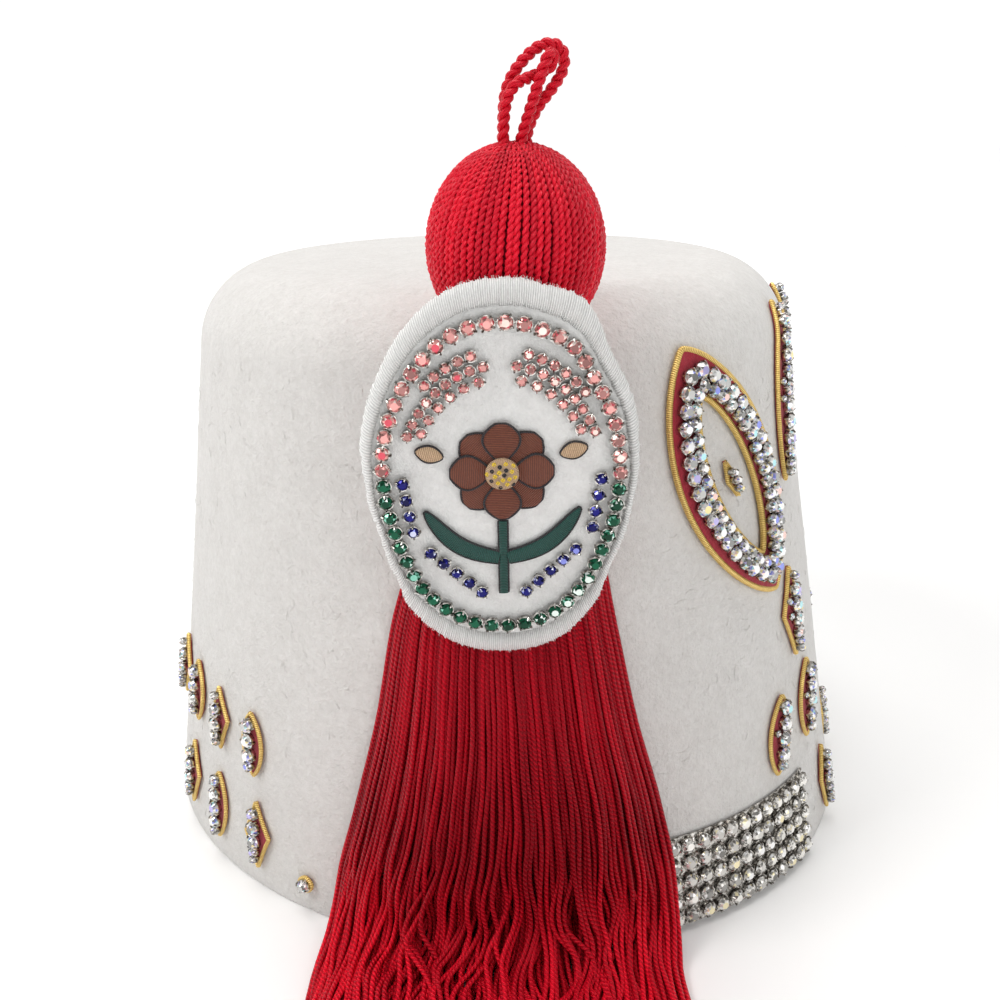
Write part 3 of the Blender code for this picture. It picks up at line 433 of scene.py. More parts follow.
def thread_look(name, dark, light, pitch=0.36 * MM):
    """Satin stitch: threads lie side by side along the map's second direction, a pitch apart, each painted
    darker at its sides as painted shade between threads.
    """
    look = Look(name, light, 0.5, Sheen_Weight=0.25, Sheen_Roughness=0.35)
    wave = look.waves(0.0, 1.0 / pitch)
    grain = look.speckle(2200.0, 2.0, 0.7)
    # Thin dark lines between the threads: painted shade, over a random grain
    shade = look.maths("MULTIPLY", look.maths("POWER", wave, 0.5), look.maths("ADD", grain, 0.45))
    look.paint(look.blend(shade, dark, light))
    look.emboss(wave, 0.12 * MM)
    return look.material


def gold_look():
    look = Look("bullion gold", (0.92, 0.64, 0.20), 0.36, Metallic=0.7, Specular_IOR_Level=0.6)
    wraps = look.waves(1.0, 1.0 / (0.46 * MM))
    worn = look.speckle(700.0, 2.0)
    # The gold is painted dark where the wraps meet, as painted shade between wraps; a speckle varies it at
    # random
    shade = look.maths("MULTIPLY", look.maths("POWER", wraps, 0.5), look.maths("ADD", worn, 0.5))
    look.paint(look.blend(shade, (0.46, 0.23, 0.025), (1.0, 0.76, 0.27)))
    look.emboss(wraps, 0.12 * MM)
    return look.material


def stone_look():
    """Foiled glass: every facet has a tint of its own: painted light and dark reflections and painted
    coloured flashes stand in for the stones' sparkle.
    """
    gloss = {"Metallic": 0.5, "Specular_IOR_Level": 0.35, "Coat_Weight": 0.15, "Coat_Roughness": 0.02}
    look = Look("cut stones", (1, 1, 1), 0.06, **gloss)
    look.paint(look.tinted((1.0, 1.0, 1.0)))
    return look.material


def silver_look():
    look = Look("silver cups", (0.55, 0.53, 0.50), 0.24, Metallic=0.95)
    grain = look.speckle(1100.0, 2.0)
    look.paint(look.blend(look.contrast(grain, 0.35, 3.0), (0.10, 0.085, 0.07), (0.86, 0.84, 0.80)))
    look.emboss(grain, 0.08 * MM)
    return look.material


# Meshes


class Shape:
    """Points, faces, materials, maps and tints of one mesh, built up piece by piece."""

    def __init__(self):
        self.points = []
        self.faces = []
        self.slots = []
        self.maps = []
        self.tints = []

    def add(self, points, faces, slot=0, maps=None, tints=None):
        first = len(self.points)
        self.points.extend(points)
        for number, face in enumerate(faces):
            self.faces.append([first + k for k in face])
            self.slots.append(slot)
            self.maps.append(maps[number] if maps else [(0.0, 0.0)] * len(face))
            self.tints.append(tints[number] if tints else (1.0, 1.0, 1.0))

    def tube(self, path, radius, sides, slot=0, closed=False, tint=(1, 1, 1), start=0.0):
        """A tube along a path, radius and tint one for all or one for each point, its map from start on."""
        count = len(path)
        radii = radius if hasattr(radius, "__len__") else [radius] * count
        shades = tint if hasattr(tint[0], "__len__") else [tint] * count
        along = [start + length for length in lengths_along(path + path[:1])]
        points = []
        for point, reach, (ahead, side) in zip(path, radii, frames_along(path, closed)):
            other = ahead.cross(side)
            points += [point + (side * cos(turn) + other * sin(turn)) * reach for turn in circle(sides)]
        faces = []
        maps = []
        tints = []
        for i in range(count if closed else count - 1):
            j = (i + 1) % count
            for k in range(sides):
                m = (k + 1) % sides
                faces.append((i * sides + k, i * sides + m, j * sides + m, j * sides + k))
                u, w = k / sides, (k + 1) / sides
                maps.append([(u, along[i]), (w, along[i]), (w, along[i + 1]), (u, along[i + 1])])
                tints.append(shades[i])
        if not closed:
            faces.append(tuple(range(sides))[::-1])
            faces.append(tuple(range((count - 1) * sides, count * sides)))
            maps += [[(0.0, along[i])] * sides for i in (0, count - 1)]
            tints += [shades[0], shades[-1]]
        self.add(points, faces, slot, maps, tints)

    def skin(self, rings, slot=0, around=False, start=None, end=None, maps=lambda i, k: (0.0, 0.0)):
        """Faces between rings of as many points; around joins the last ring to the first, and start and end
        are points that close the first and the last."""
        sides = len(rings[0])
        count = len(rings)
        points = [point for ring in rings for point in ring]
        faces = []
        places = []
        for i in range(count if around else count - 1):
            j = (i + 1) % count
            for k in range(sides):
                m = (k + 1) % sides
                faces.append((i * sides + k, i * sides + m, j * sides + m, j * sides + k))
                places.append([maps(i, k), maps(i, k + 1), maps(i + 1, k + 1), maps(i + 1, k)])
        for tip, row in ((start, 0), (end, count - 1)):
            if tip is not None:
                points.append(tip)
                for k in range(sides):
                    faces.append((row * sides + k, row * sides + (k + 1) % sides, len(points) - 1))
                    places.append([maps(row, k)] * 3)
        self.add(points, faces, slot, places)

    def close(self, rings, slot):
        """Flat faces over the first and the last ring."""
        whole = tuple(range(len(rings[0])))
        self.add(rings[0], [whole[::-1]], slot)
        self.add(rings[-1], [whole], slot)

    def finished(self, name, materials, slot, nodes=(), sharp=None):
        """The mesh as a piece that rides on the body; sharp is the angle over which its edges stay sharp."""
        mesh = bpy.data.meshes.new(name)
        mesh.from_pydata([tuple(point) for point in self.points], [], self.faces)
        for material in materials:
            mesh.materials.append(material)
        mesh.polygons.foreach_set("material_index", self.slots)
        uv = mesh.uv_layers.new(name="map")
        uv.data.foreach_set("uv", [value for face in self.maps for place in face for value in place])
        tint = mesh.color_attributes.new("tint", "FLOAT_COLOR", "CORNER")
        colours = []
        for face, colour in zip(self.faces, self.tints):
            colours.extend((*colour, 1.0) * len(face))
        tint.data.foreach_set("color", colours)
        recalculate(mesh)
        mesh.shade_smooth()
        if sharp:
            mesh.set_sharp_from_angle(angle=radians(sharp))
        piece = bpy.data.objects.new(name, mesh)
        bpy.context.scene.collection.objects.link(piece)
        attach(piece, BODY)
        if nodes:
            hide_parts(*nodes)


def recalculate(mesh):
    """Turns every face outward."""
    work = bmesh.new()
    work.from_mesh(mesh)
    bmesh.ops.recalc_face_normals(work, faces=work.faces)
    work.to_mesh(mesh)
    work.free()


def plied(shape, path, radius, pitch, sides, tint=(1, 1, 1), scale=None, phase=0.0):
    """A cord of two real plies wound round its path; scale shrinks it point by point, phase turns it."""
    scale = scale or [1.0] * len(path)
    along = lengths_along(path)
    frames = frames_along(path)
    for ply in range(2):
        route = []
        for point, run, size, (ahead, side) in zip(path, along, scale, frames):
            turn = 2 * pi * (run / pitch + ply / 2) + phase
            way = side * cos(turn) + ahead.cross(side) * sin(turn)
            route.append(point + way * radius * 0.48 * size)
        shape.tube(route, [radius * 0.56 * size for size in scale], sides, tint=tint)


STONE_SLOT = 0
CUP_SLOT = 1
CUP_WALL = 0.16 * MM
PRONGS = 4


def cut_stone(shape, seat, radius, cup, rise, tones, random):
    """A round cut stone in a cup with prongs. seat is a matrix at the cup's foot, its Z the way out; the
    stone's girdle lies at the cup's height, and its table higher by the rise."""
    turned = random.uniform(0, pi / 4)

    def ring(count, out, height, offset=0.0):
        angles = [turned + 2 * pi * (k + offset) / count for k in range(count)]
        return [seat @ Vector((out * cos(t), out * sin(t), height)) for t in angles]

    points = ring(16, radius, cup - 0.15 * MM) + ring(16, radius, cup)
    points += ring(8, radius * 0.84, cup + rise * 0.55, 0.5) + ring(8, radius * 0.52, cup + rise)
    faces = [(k, (k + 1) % 16, 16 + (k + 1) % 16, 16 + k) for k in range(16)]
    for k in range(8):
        a, b, c = 16 + 2 * k, 16 + (2 * k + 1) % 16, 16 + (2 * k + 2) % 16
        m, n = 32 + k, 32 + (k - 1) % 8
        t, s = 40 + k, 40 + (k + 1) % 8
        faces += [(a, b, m), (b, c, m), (n, a, m), (m, s, t), (n, m, t)]
    faces += [tuple(range(40, 48)), tuple(range(16))[::-1]]
    # Every facet takes one of the tints at random: painted light and dark reflections and painted flashes
    shape.add(points, faces, STONE_SLOT, None, [random.choice(tones) for _ in faces])

    wall = radius + CUP_WALL
    brim = cup + 0.05 * MM
    profile = [(radius * 0.92, 0.0), (wall, cup * 0.6), (wall, brim), (radius - 0.02 * MM, brim)]
    profile.append((radius * 0.8, 0.1 * MM))
    shape.skin([ring(16, out, height) for out, height in profile], CUP_SLOT)
    bent = ((wall, cup * 0.4), (wall + 0.05 * MM, cup + 0.25 * MM), (radius * 0.80, cup + rise * 0.85))
    for k in range(PRONGS):
        angle = turned + 2 * pi * (k + 0.5) / PRONGS
        way = Vector((cos(angle), sin(angle), 0))
        path = [seat @ (way * out + Vector((0, 0, height))) for out, height in bent]
        shape.tube(path, [radius * share for share in (0.15, 0.15, 0.12)], 5, CUP_SLOT)


def seat_at(point, outward, ahead):
    """A matrix at a point with Z outward and X near ahead."""
    z = outward.normalized()
    x = (ahead - z * ahead.dot(z)).normalized()
    made = Matrix((x, z.cross(x), z)).transposed().to_4x4()
    made.translation = point
    return made


def tones(colour, painted_flashes, darkest_painted_facet):
    """Facet tints of a stone's colour, as painted reflections: many mid ones, some dark, some bright, a few
    painted coloured flashes.
    """
    made = []
    for level in (darkest_painted_facet, darkest_painted_facet * 1.6, 0.32, 0.45, 0.6, 0.72, 0.85, 1.0, 1.0, 1.0):
        made.append(tuple(min(1.0, level * channel) for channel in colour))
    return made + list(painted_flashes)


# Crown


CROWN_SIDES = 168
WALL_STEPS = 44
SHOULDER_STEPS = 18
DOME_STEPS = 9
UNEVENNESS = 0.16 * MM
SETTLED = 12 * MM
RIM_ROUND = 0.6 * MM


def crown_rises():
    """How far up the crown's outline its rings lie: up the wall and on over the shoulder."""
    over = SHOULDER * (pi / 2 - LEAN)
    rises = [WALL_RUN * (i / WALL_STEPS) for i in range(WALL_STEPS)]
    return rises + [WALL_RUN + over * i / SHOULDER_STEPS for i in range(SHOULDER_STEPS + 1)]


FIBRES = 1100


def add_fibres(shape):
    """Loose fibres that lie on the felt of the wall."""
    random = Random(61)
    for _ in range(FIBRES):
        height = random.uniform(0.02, 1.0) * WALL_HEIGHT
        on_wall = wall_mapper(random.uniform(0, 360), height, random.uniform(0, pi))
        length = random.uniform(1.0, 3.2) * MM
        bow = random.uniform(-0.25, 0.25) * length
        lift = random.uniform(0.06, 0.18) * MM
        path = []
        for share in (0.0, 0.33, 0.67, 1.0):
            arch = sin(pi * share)
            path.append(on_wall((share - 0.5) * length, bow * arch, 0.05 * MM + lift * arch))
        shape.tube(path, 0.05 * MM, 3)


def make_crown(materials):
    """The felt shell: its uneven outer face, the round edge of its rim and its even inner face."""
    shape = Shape()
    rises = crown_rises()
    flat_along, flat_across, flat_height, _ = crown_profile(rises[-1])

    def ring(along, across, height, unevenness=0.0):
        points = []
        for turn in circle(CROWN_SIDES):
            point = Vector((along * cos(turn), across * sin(turn), height))
            if unevenness:
                swell = noise.noise(point * 38.0) + 0.4 * noise.noise(point * 140.0)
                point += Vector((cos(turn), sin(turn), 0.25)) * swell * unevenness
            points.append(point)
        return points

    def face(inset, unevenness):
        rings = []
        for rise in rises:
            along, across, height, tilt = crown_profile(rise)
            level = height - inset * sin(tilt) if rise else height + RIM_ROUND
            in_by = inset * cos(tilt)
            rings.append(ring(along - in_by, across - in_by, level, unevenness * min(1.0, rise / SETTLED)))
        for i in range(1, DOME_STEPS):
            share = 1 - i / DOME_STEPS
            level = flat_height + TOP_DOME * (1 - share**2) - inset
            rings.append(ring(flat_along * share, flat_across * share, level, unevenness))
        return rings

    along, across, _, _ = crown_profile(0.0)
    edge = [
        ring(along - FELT * share, across - FELT * share, height)
        for share, height in ((1.0, 0.5 * MM), (0.85, 0.0), (0.15, 0.0))
    ]
    top = Vector((0, 0, HAT_HEIGHT))
    rings = face(FELT, 0.0)[::-1] + edge + face(0.0, UNEVENNESS)
    shape.skin(rings, start=top - Vector((0, 0, FELT)), end=top)
    add_fibres(shape)
    shape.finished("crown_felt", materials, "white_felt", ["crown"])


# Tassel


def on_ball(fall, turn, lift):
    """A point of the ball: fall from its top, turn round it and lift above its surface."""
    flat = BALL_RADIUS * sin(fall)
    point = Vector((flat * cos(turn), flat * sin(turn), BALL_TALL * cos(fall)))
    flat_ways = (point.x / BALL_RADIUS**2, point.y / BALL_RADIUS**2)
    outward = Vector((*flat_ways, point.z / BALL_TALL**2)).normalized()
    return TASSEL @ (BALL + point + outward * lift)


COLUMNS = 74
COLUMN_RADIUS = 0.72 * MM
COLUMN_STEPS = 84
COLUMN_STARTS = (5, 24, 13, 24)
COLUMN_END = 163
CORE_DEPTH = 1.25 * MM


def make_ball(materials):
    """Columns of plied cord down the ball, fewer of them near its top, over a plain core painted dark as
    painted shade in the gaps between the columns.
    """
    random = Random(11)
    shape = Shape()
    for column in range(COLUMNS):
        turn = 2 * pi * column / COLUMNS
        sway = random.uniform(-0.16, 0.16) * 2 * pi / COLUMNS
        phase = random.uniform(0, 2 * pi)
        first = COLUMN_STARTS[column % 4]
        path = []
        scale = []
        for i in range(COLUMN_STEPS + 1):
            fall = radians(first + (COLUMN_END - first) * i / COLUMN_STEPS)
            here = turn + sway * sin(2 * fall + phase) + 0.10 * cos(fall)
            shared = 4 if fall < radians(13) else 2 if fall < radians(24) else 1
            spacing = 2 * pi * BALL_RADIUS * sin(fall) / COLUMNS * shared
            size = max(0.3, min(1.06, spacing / 2 / COLUMN_RADIUS * 1.16))
            scale.append(size)
            path.append(on_ball(fall, here, -COLUMN_RADIUS * size * random.uniform(0.98, 1.1)))
        tint = (random.uniform(0.80, 1.12),) * 3
        pitch = random.uniform(2.5, 3.1) * MM
        plied(shape, path, COLUMN_RADIUS, pitch, 5, tint, scale, random.uniform(0, 2 * pi))
    core = [[on_ball(pi * i / 20, turn, -CORE_DEPTH) for turn in circle(40)] for i in range(1, 20)]
    ends = [on_ball(fall, 0, -CORE_DEPTH - 0.05 * MM) for fall in (0, pi)]
    shape.skin(core, 1, start=ends[0], end=ends[1])
    shape.finished("wound_ball", materials, "tassel_silk", ["tassel_ball"])


def make_loop(name, route, node, materials):
    """A loop of plied cord whose ends are sunk in the ball."""
    foot = BALL_UP + BALL_TALL + GAP
    points = []
    for aside, up, back in route:
        out = BALL_OUT - back * LOOP_SPACING
        points.append(in_tassel(BALL_ASIDE + aside * LOOP_SPREAD, out, foot + up * LOOP_HEIGHT))
    sunk = Vector((0, 0, 1.4 * MM))
    points = [points[0] - sunk, *points, points[-1] - sunk]
    shape = Shape()
    path = evenly(smooth_route(points, 12), 0.32 * MM)
    plied(shape, path, 0.93 * LOOP_CORD_RADIUS, 3.5 * MM, 9)
    shape.finished(name, materials, "tassel_silk", [node])


# The fringe's stations down the wall: height, how far it has settled on the wall, the middle's place aside,
# width and thickness, all as shares. Those over the floor have the bend's angle and the run instead of the
# first two.
WALL_STATIONS = (
    (0.940, 0.40, 0.80, 0.30, 0.72),
    (0.866, 0.75, 0.60, 0.35, 0.74),
    (0.758, 1.00, 0.35, 0.43, 0.80),
    (0.650, 1.00, 0.15, 0.50, 0.90),
    (0.568, 1.00, 0.00, 0.56, 1.00),
    (0.414, 1.00, 0.00, 0.66, 1.00),
    (0.275, 1.00, 0.00, 0.78, 0.96),
    (0.165, 1.00, -0.15, 0.87, 0.92),
)
BADGE_STATIONS = 5
FLOOR_STATIONS = (
    (0.0, 0.00, -0.32, 0.91, 0.90),
    (32.0, 0.00, -0.50, 0.93, 0.84),
    (62.0, 0.00, -0.70, 0.94, 0.76),
    (90.0, 0.00, -0.88, 0.95, 0.68),
    (90.0, 0.24, -1.05, 0.97, 0.60),
    (90.0, 0.46, -1.15, 0.98, 0.52),
    (90.0, 0.66, -1.18, 1.01, 0.40),
    (90.0, 0.86, -1.20, 1.03, 0.30),
    (90.0, 1.00, -1.20, 1.05, 0.22),
)


def fringe_stations():
    """The fringe's width and thickness at each station, from inside the ball's foot down, with a function
    from a place aside to a point on the wall's side and the way out."""
    hug = hypot(BALL_RADIUS * sin(NECK_LEAN), BALL_TALL * cos(NECK_LEAN)) + GAP
    out = Vector((0, -cos(NECK_LEAN), sin(NECK_LEAN)))
    neck = BALL + Vector((0, -sin(NECK_LEAN), -cos(NECK_LEAN))) * hug - out * NECK_THICKNESS / 2
    width = FRINGE_WIDTH * NECK_SHARE
    tuck = neck + Vector((0, sin(NECK_LEAN), cos(NECK_LEAN))) * TUCK
    tuck += out * NECK_THICKNESS * (1 - TUCK_THICKNESS) / 2

    def level_with(middle):
        return lambda aside: (middle + Vector((aside, 0, 0)), out)

    stations = [
        (width * TUCK_WIDTH, NECK_THICKNESS * TUCK_THICKNESS, level_with(tuck)),
        (width, NECK_THICKNESS, level_with(neck)),
    ]
    for number, (share, settled, middle, width, thickness) in enumerate(WALL_STATIONS):
        height = share * neck.z
        hung = -neck.y * (1 - settled)

        def on_wall(aside, height=height, hung=hung, settled=settled, middle=middle):
            aside += BALL_ASIDE * middle
            reach = hung + settled * (crown_reach(aside, height) + GAP)
            return Vector((aside, -reach, height)), Vector((0, -1, 0))

        room = FRINGE_THICKNESS
        if number < BADGE_STATIONS:
            badge = BADGE_BACK + (height - BADGE_MIDDLE) * tan(BADGE_LEAN)
            room = badge - GAP + on_wall(0.0)[0].y
        stations.append((width * FRINGE_WIDTH, thickness * room, on_wall))
    for angle, run, middle, width, thickness in FLOOR_STATIONS:
        turn = radians(angle)
        ahead = FOOT_BEND * (1 - cos(turn)) + run * (TAIL_RUN - FOOT_BEND)
        height = FOOT_BEND * (1 - sin(turn))

        def on_floor(aside, ahead=ahead, height=height, turn=turn, middle=middle):
            aside += BALL_ASIDE * middle
            reach = crown_reach(aside, height) + GAP + ahead
            return Vector((aside, -reach, height)), Vector((0, -cos(turn), sin(turn)))

        stations.append((width * FRINGE_WIDTH, thickness * FRINGE_THICKNESS, on_floor))
    return stations


LAYERS = 5
STRANDS_A_LAYER = 62
STRAND_STEP = 2.0 * MM
CLUMPS = 19
HANG_FROM = 45 * MM
HANG_OVER = 60 * MM
LOOSE_FROM = 108 * MM
LOOSE_OVER = 34 * MM
# Painted shade along the strands: where the painted shadow of the fringe's bend lies, and the levels of
# painted shade where it hangs, at the bend, and of painted light on the floor
BEND_FROM = 114 * MM
BEND_OVER = 26 * MM
HUNG_PAINTED_SHADE = 0.64
FOLD_PAINTED_SHADOW = 0.14
FOOT_PAINTED_LIGHT = 1.05

# How a clump of strands bends: the wave along it, where that starts, how far it swings and how far it lifts
Clump = namedtuple("Clump", "wave phase size lift")


def flow(across, run, layer, wave):
    """A smooth drift from -1 to 1 that neighbouring strands of a layer share."""
    return 2.2 * noise.noise(Vector((across * 2.6, run / wave, 9.7 * layer)))


def guide(stations, across, depth):
    """Even points from the neck to the end of the tail at one place in the fringe, each with its way out."""
    knots = []
    ways = []
    for width, thickness, place in stations:
        start, outward = place(across * (width / 2 - STRAND_RADIUS))
        edge = 0.12 + 0.88 * sqrt(max(0.0, 1 - abs(across) ** 3))
        deep = STRAND_RADIUS + depth * max(thickness * edge - 2 * STRAND_RADIUS, 0.0)
        knots.append(start + outward * deep)
        ways.append(outward)
    points = smooth_route(knots, 6)
    ways = smooth_route(ways, 6)
    made = [(points[0], ways[0])]
    spare = 0.0
    for here, there, way in zip(points, points[1:], ways):
        length = (there - here).length
        spare += length
        while spare >= STRAND_STEP:
            spare -= STRAND_STEP
            made.append((there.lerp(here, spare / length), way))
    return made


PANEL_RISE = 2.5 * MM
PANEL_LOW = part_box("crystal_band_right")[0]
PANEL_END = atan2(abs(PANEL_LOW[1]) / BASE_WIDTH, PANEL_LOW[0] / BASE_LENGTH)


def over_panel(aside, height, off_wall):
    """How far a strand is lifted off the wall where the fringe's edge lies by the crystal panel's end."""
    along, across, _, _ = crown_profile(max(height, 0.0) / cos(LEAN))
    edge = (TASSEL.inverted() @ Vector((along * cos(PANEL_END), -across * sin(PANEL_END), 0))).x
    beyond = ease((aside - edge + 2.2 * MM) / (2.0 * MM))
    low = ease((BAND_FOOT + BAND_HEIGHT + 10 * MM - height) / (8 * MM))
    return PANEL_RISE * beyond * low * ease(1.5 - off_wall / (10 * MM))


def strand_path(stations, across, depth, layer, clump, random):
    """One strand: its place across from -1 to 1 and its depth from 0 at the wall to 1 in front. It hangs
    nearly straight, then bends and crosses others with its clump where the fringe meets the floor."""
    points = guide(stations, across, depth)
    points = points[: int(len(points) * random.uniform(0.92, 1.0))]
    late = random.gauss(0, 0.5)
    own = random.uniform(0.6, 1.3)
    made = []
    for i, (point, outward) in enumerate(points):
        run = i * STRAND_STEP - TUCK
        hang = max(0.0, min(1.0, (run - HANG_FROM) / HANG_OVER))
        loose = ease((run - LOOSE_FROM) / LOOSE_OVER)
        swing = 0.7 * MM * hang * flow(across, run, layer, 60 * MM)
        swing += 0.22 * MM * hang * sin(2 * pi * run / (31 * MM) + 6 * late)
        turn = 2 * pi * run / clump.wave + clump.phase + late
        swing += clump.size * own * loose * sin(turn)
        swing += 2.2 * MM * loose * flow(across, run, layer + 20, 30 * MM)
        lift = clump.lift * loose * (1 + cos(turn + 0.9)) / 2
        side = min(1.0, max(0.12, (1.05 - abs(across)) / 0.5))
        moved = point + Vector((swing * side, 0, 0)) + outward * lift * side
        wall = crown_reach(moved.x, moved.z) + GAP + STRAND_RADIUS
        if -moved.y < wall:
            moved.y = -wall
        moved.y -= over_panel(moved.x, moved.z, -moved.y - wall)
        badge = BADGE_BACK + (moved.z - BADGE_MIDDLE) * tan(BADGE_LEAN) - GAP - STRAND_RADIUS
        if moved.z > BADGE_MIDDLE - BADGE_HEIGHT / 2 - 2 * MM and -moved.y > badge:
            moved.y = -badge
        moved.z = max(moved.z, STRAND_RADIUS)
        made.append(TASSEL @ moved)
    return made


def painted_strand_shade(run):
    """Painted shade along a strand's run: painted shade where the fringe hangs, a deeper painted shadow at
    its bend, and painted light on the floor beyond.
    """
    foot = min(1.0, max(0.0, (run - BEND_FROM) / BEND_OVER))
    fold = max(0.0, 1 - abs(run - BEND_FROM) / BEND_OVER)
    return HUNG_PAINTED_SHADE - FOLD_PAINTED_SHADOW * fold + (FOOT_PAINTED_LIGHT - HUNG_PAINTED_SHADE) * foot


def make_fringe(materials):
    """The strands, in a mesh for each layer from the wall outward; clumps of a layer bend together."""
    random = Random(5)
    stations = fringe_stations()
    for layer in range(LAYERS):
        shape = Shape()
        front = layer / (LAYERS - 1)
        clumps = []
        for _ in range(CLUMPS):
            size = random.uniform(0.3, 2.6) * MM * (0.15 + 0.85 * front)
            wave = random.uniform(20, 36) * MM
            phase = random.uniform(0, 2 * pi)
            clumps.append(Clump(wave, phase, size, random.uniform(0.3, 2.6) * MM * front))
        if layer == LAYERS - 1:
            clumps[5] = Clump(38 * MM, 2.2, 4.4 * MM, 3.2 * MM)
            clumps[12] = Clump(28 * MM, 0.4, 3.4 * MM, 2.6 * MM)
        for k in range(STRANDS_A_LAYER):
            across = -1 + 2 * (k + 0.5 + random.uniform(-0.35, 0.35)) / STRANDS_A_LAYER
            depth = (layer + random.uniform(0.1, 0.9)) / LAYERS
            place = (across + 1) / 2 * CLUMPS + random.uniform(-0.25, 0.25)
            clump = clumps[max(0, min(CLUMPS - 1, int(place)))]
            path = strand_path(stations, across, depth, layer, clump, random)
            # A strand's own tone differs at random; the layers nearer the wall are painted darker as painted
            # shade within the fringe
            shade = random.uniform(0.62, 1.08) * (0.62 + 0.38 * front)
            count = len(path)
            radii = [STRAND_RADIUS * (0.80 + 0.20 * min(1.0, 3 * i / count)) for i in range(count)]
            radii[-1] *= 0.6
            # Along each strand: painted shade where it hangs, a painted shadow at the bend and painted light
            # beyond
            tints = [(shade * painted_strand_shade(i * STRAND_STEP - TUCK),) * 3 for i in range(count)]
            shape.tube(path, radii, 6, tint=tints, start=random.uniform(0, 5) * MM)
        nodes = ["tassel_fringe"] if layer == 0 else []
        shape.finished(f"fringe_strands_{layer + 1}", materials, "fringe_silk", nodes)


# Badge


def edge_share(angle):
    """The badge edge's reach at an angle in degrees, smooth between the rows of BADGE_EDGE."""
    first, last = BADGE_EDGE[0], BADGE_EDGE[-1]
    rows = [(last[0] - 360, last[1]), *BADGE_EDGE, (first[0] + 360, first[1])]
    for (low, here), (high, there) in zip(rows, rows[1:]):
        if low <= angle <= high:
            part = (angle - low) / (high - low)
            return here + (there - here) * (1 - cos(pi * part)) / 2
    return 1.0


def badge_lines(turn):
    """At one angle of the badge: its edge, the border's inner edge and the line of the stone chain."""
    share = edge_share(degrees(turn) % 360)
    way = Vector((cos(turn), sin(turn)))
    edge = Vector((way.x * BADGE_WIDTH, way.y * BADGE_HEIGHT)) / 2 * share
    chain = Vector((way.x * CHAIN_WIDTH, way.y * CHAIN_HEIGHT)) / 2 * (1 + share) / 2
    room = (edge - chain).length - STONE_RADIUS - GAP
    inner = edge + (chain - edge).normalized() * room * BORDER_SHARE
    return edge, inner, chain


BORDER_THREADS = 400
BORDER_SIDES = 14
BORDER_HAIRS = 420


def make_border(materials):
    """Satin stitch over the badge's edge: every thread is a ridge of the mesh, and short hairs stand out."""
    random = Random(3)
    shape = Shape()
    rings = []
    for i, turn in enumerate(circle(BORDER_THREADS * 3)):
        edge, inner, _ = badge_lines(turn)
        middle = (edge + inner) / 2
        half = (edge - inner) / 2
        if i % 3 == 0:
            wobble = random.uniform(-0.10, 0.16) * MM
            crest = random.uniform(0.06, 0.20)
            thick = random.uniform(-0.05, 0.07) * MM
        ridge = (0.0, crest, crest)[i % 3] * MM + thick
        ring = []
        for angle in circle(BORDER_SIDES):
            reach = half.length + ridge + (wobble if cos(angle) > 0 else wobble * 0.7)
            flat = middle + half.normalized() * reach * cos(angle)
            high = BORDER_THICKNESS / 2 + (BORDER_THICKNESS / 2 + ridge) * sin(angle)
            ring.append(on_badge(flat.x, flat.y, high))
        rings.append(ring)
    shape.skin(rings, around=True, maps=lambda i, k: (k / BORDER_SIDES, i / 3))
    for _ in range(BORDER_HAIRS):
        edge, inner, _ = badge_lines(random.uniform(0, 2 * pi))
        way = (edge - inner).normalized()
        bend = Vector((-way.y, way.x)) * random.uniform(-0.7, 0.7)
        height = BORDER_THICKNESS * random.uniform(0.25, 0.75)
        length = random.uniform(0.25, 0.65) * MM
        path = []
        for share in (-0.3, 0.4, 1.0):
            flat = edge + (way * share + bend * share**2) * length
            path.append(on_badge(flat.x, flat.y, height + share * random.uniform(-0.3, 0.3) * MM))
        shape.tube(path, [0.06 * MM, 0.05 * MM, 0.02 * MM], 3)
    shape.finished("stitched_border", materials, "badge_border", ["badge_border"])


GROUND_SIDES = 120
GROUND_RINGS = 26
GROUND_REACH = 1.012


def make_ground(materials):
    """The badge's felt: a sheet whose face is a little uneven, out to the border's inner edge."""
    shape = Shape()
    edges = [badge_lines(turn)[1] for turn in circle(GROUND_SIDES)]

    def face(height, unevenness):
        rings = []
        for i in range(1, GROUND_RINGS + 1):
            ring = []
            for edge in edges:
                flat = edge * (i / GROUND_RINGS) * GROUND_REACH
                rough = noise.noise(Vector((flat.x, flat.y, 0.0)) * 260.0) * unevenness
                ring.append(on_badge(flat.x, flat.y, height + rough))
            rings.append(ring)
        return rings[::-1]

    top = face(BADGE_FRONT, 0.10 * MM)
    low = BADGE_FRONT - BADGE_FELT
    back = face(low, 0.0)
    shape.skin(back[:1] + top, end=on_badge(0, 0, BADGE_FRONT))
    shape.skin(back, end=on_badge(0, 0, low))
    shape.finished("badge_ground_felt", materials, "badge_ground", ["badge_felt"])


def chain_places():
    """Even places of the stone chain and the number of the first green one."""
    path = [badge_lines(radians(degree))[2] for degree in range(-6, 355)]
    lengths = lengths_along(path)
    count = round(lengths[-1] / STONE_PITCH)
    places = []
    k = 0
    for i in range(count):
        wanted = lengths[-1] * (i + 0.5) / count
        while lengths[k + 1] < wanted:
            k += 1
        along = path[k + 1] - path[k]
        places.append((path[k] + along * (wanted - lengths[k]) / along.length, along))
    switch = [point.y > CHAIN_HEIGHT * 0.01 - point.x * 0.085 for point, _ in places]
    first = switch.index(True)
    places = places[first:] + places[:first]
    switch = switch[first:] + switch[:first]
    return places, switch.index(False)


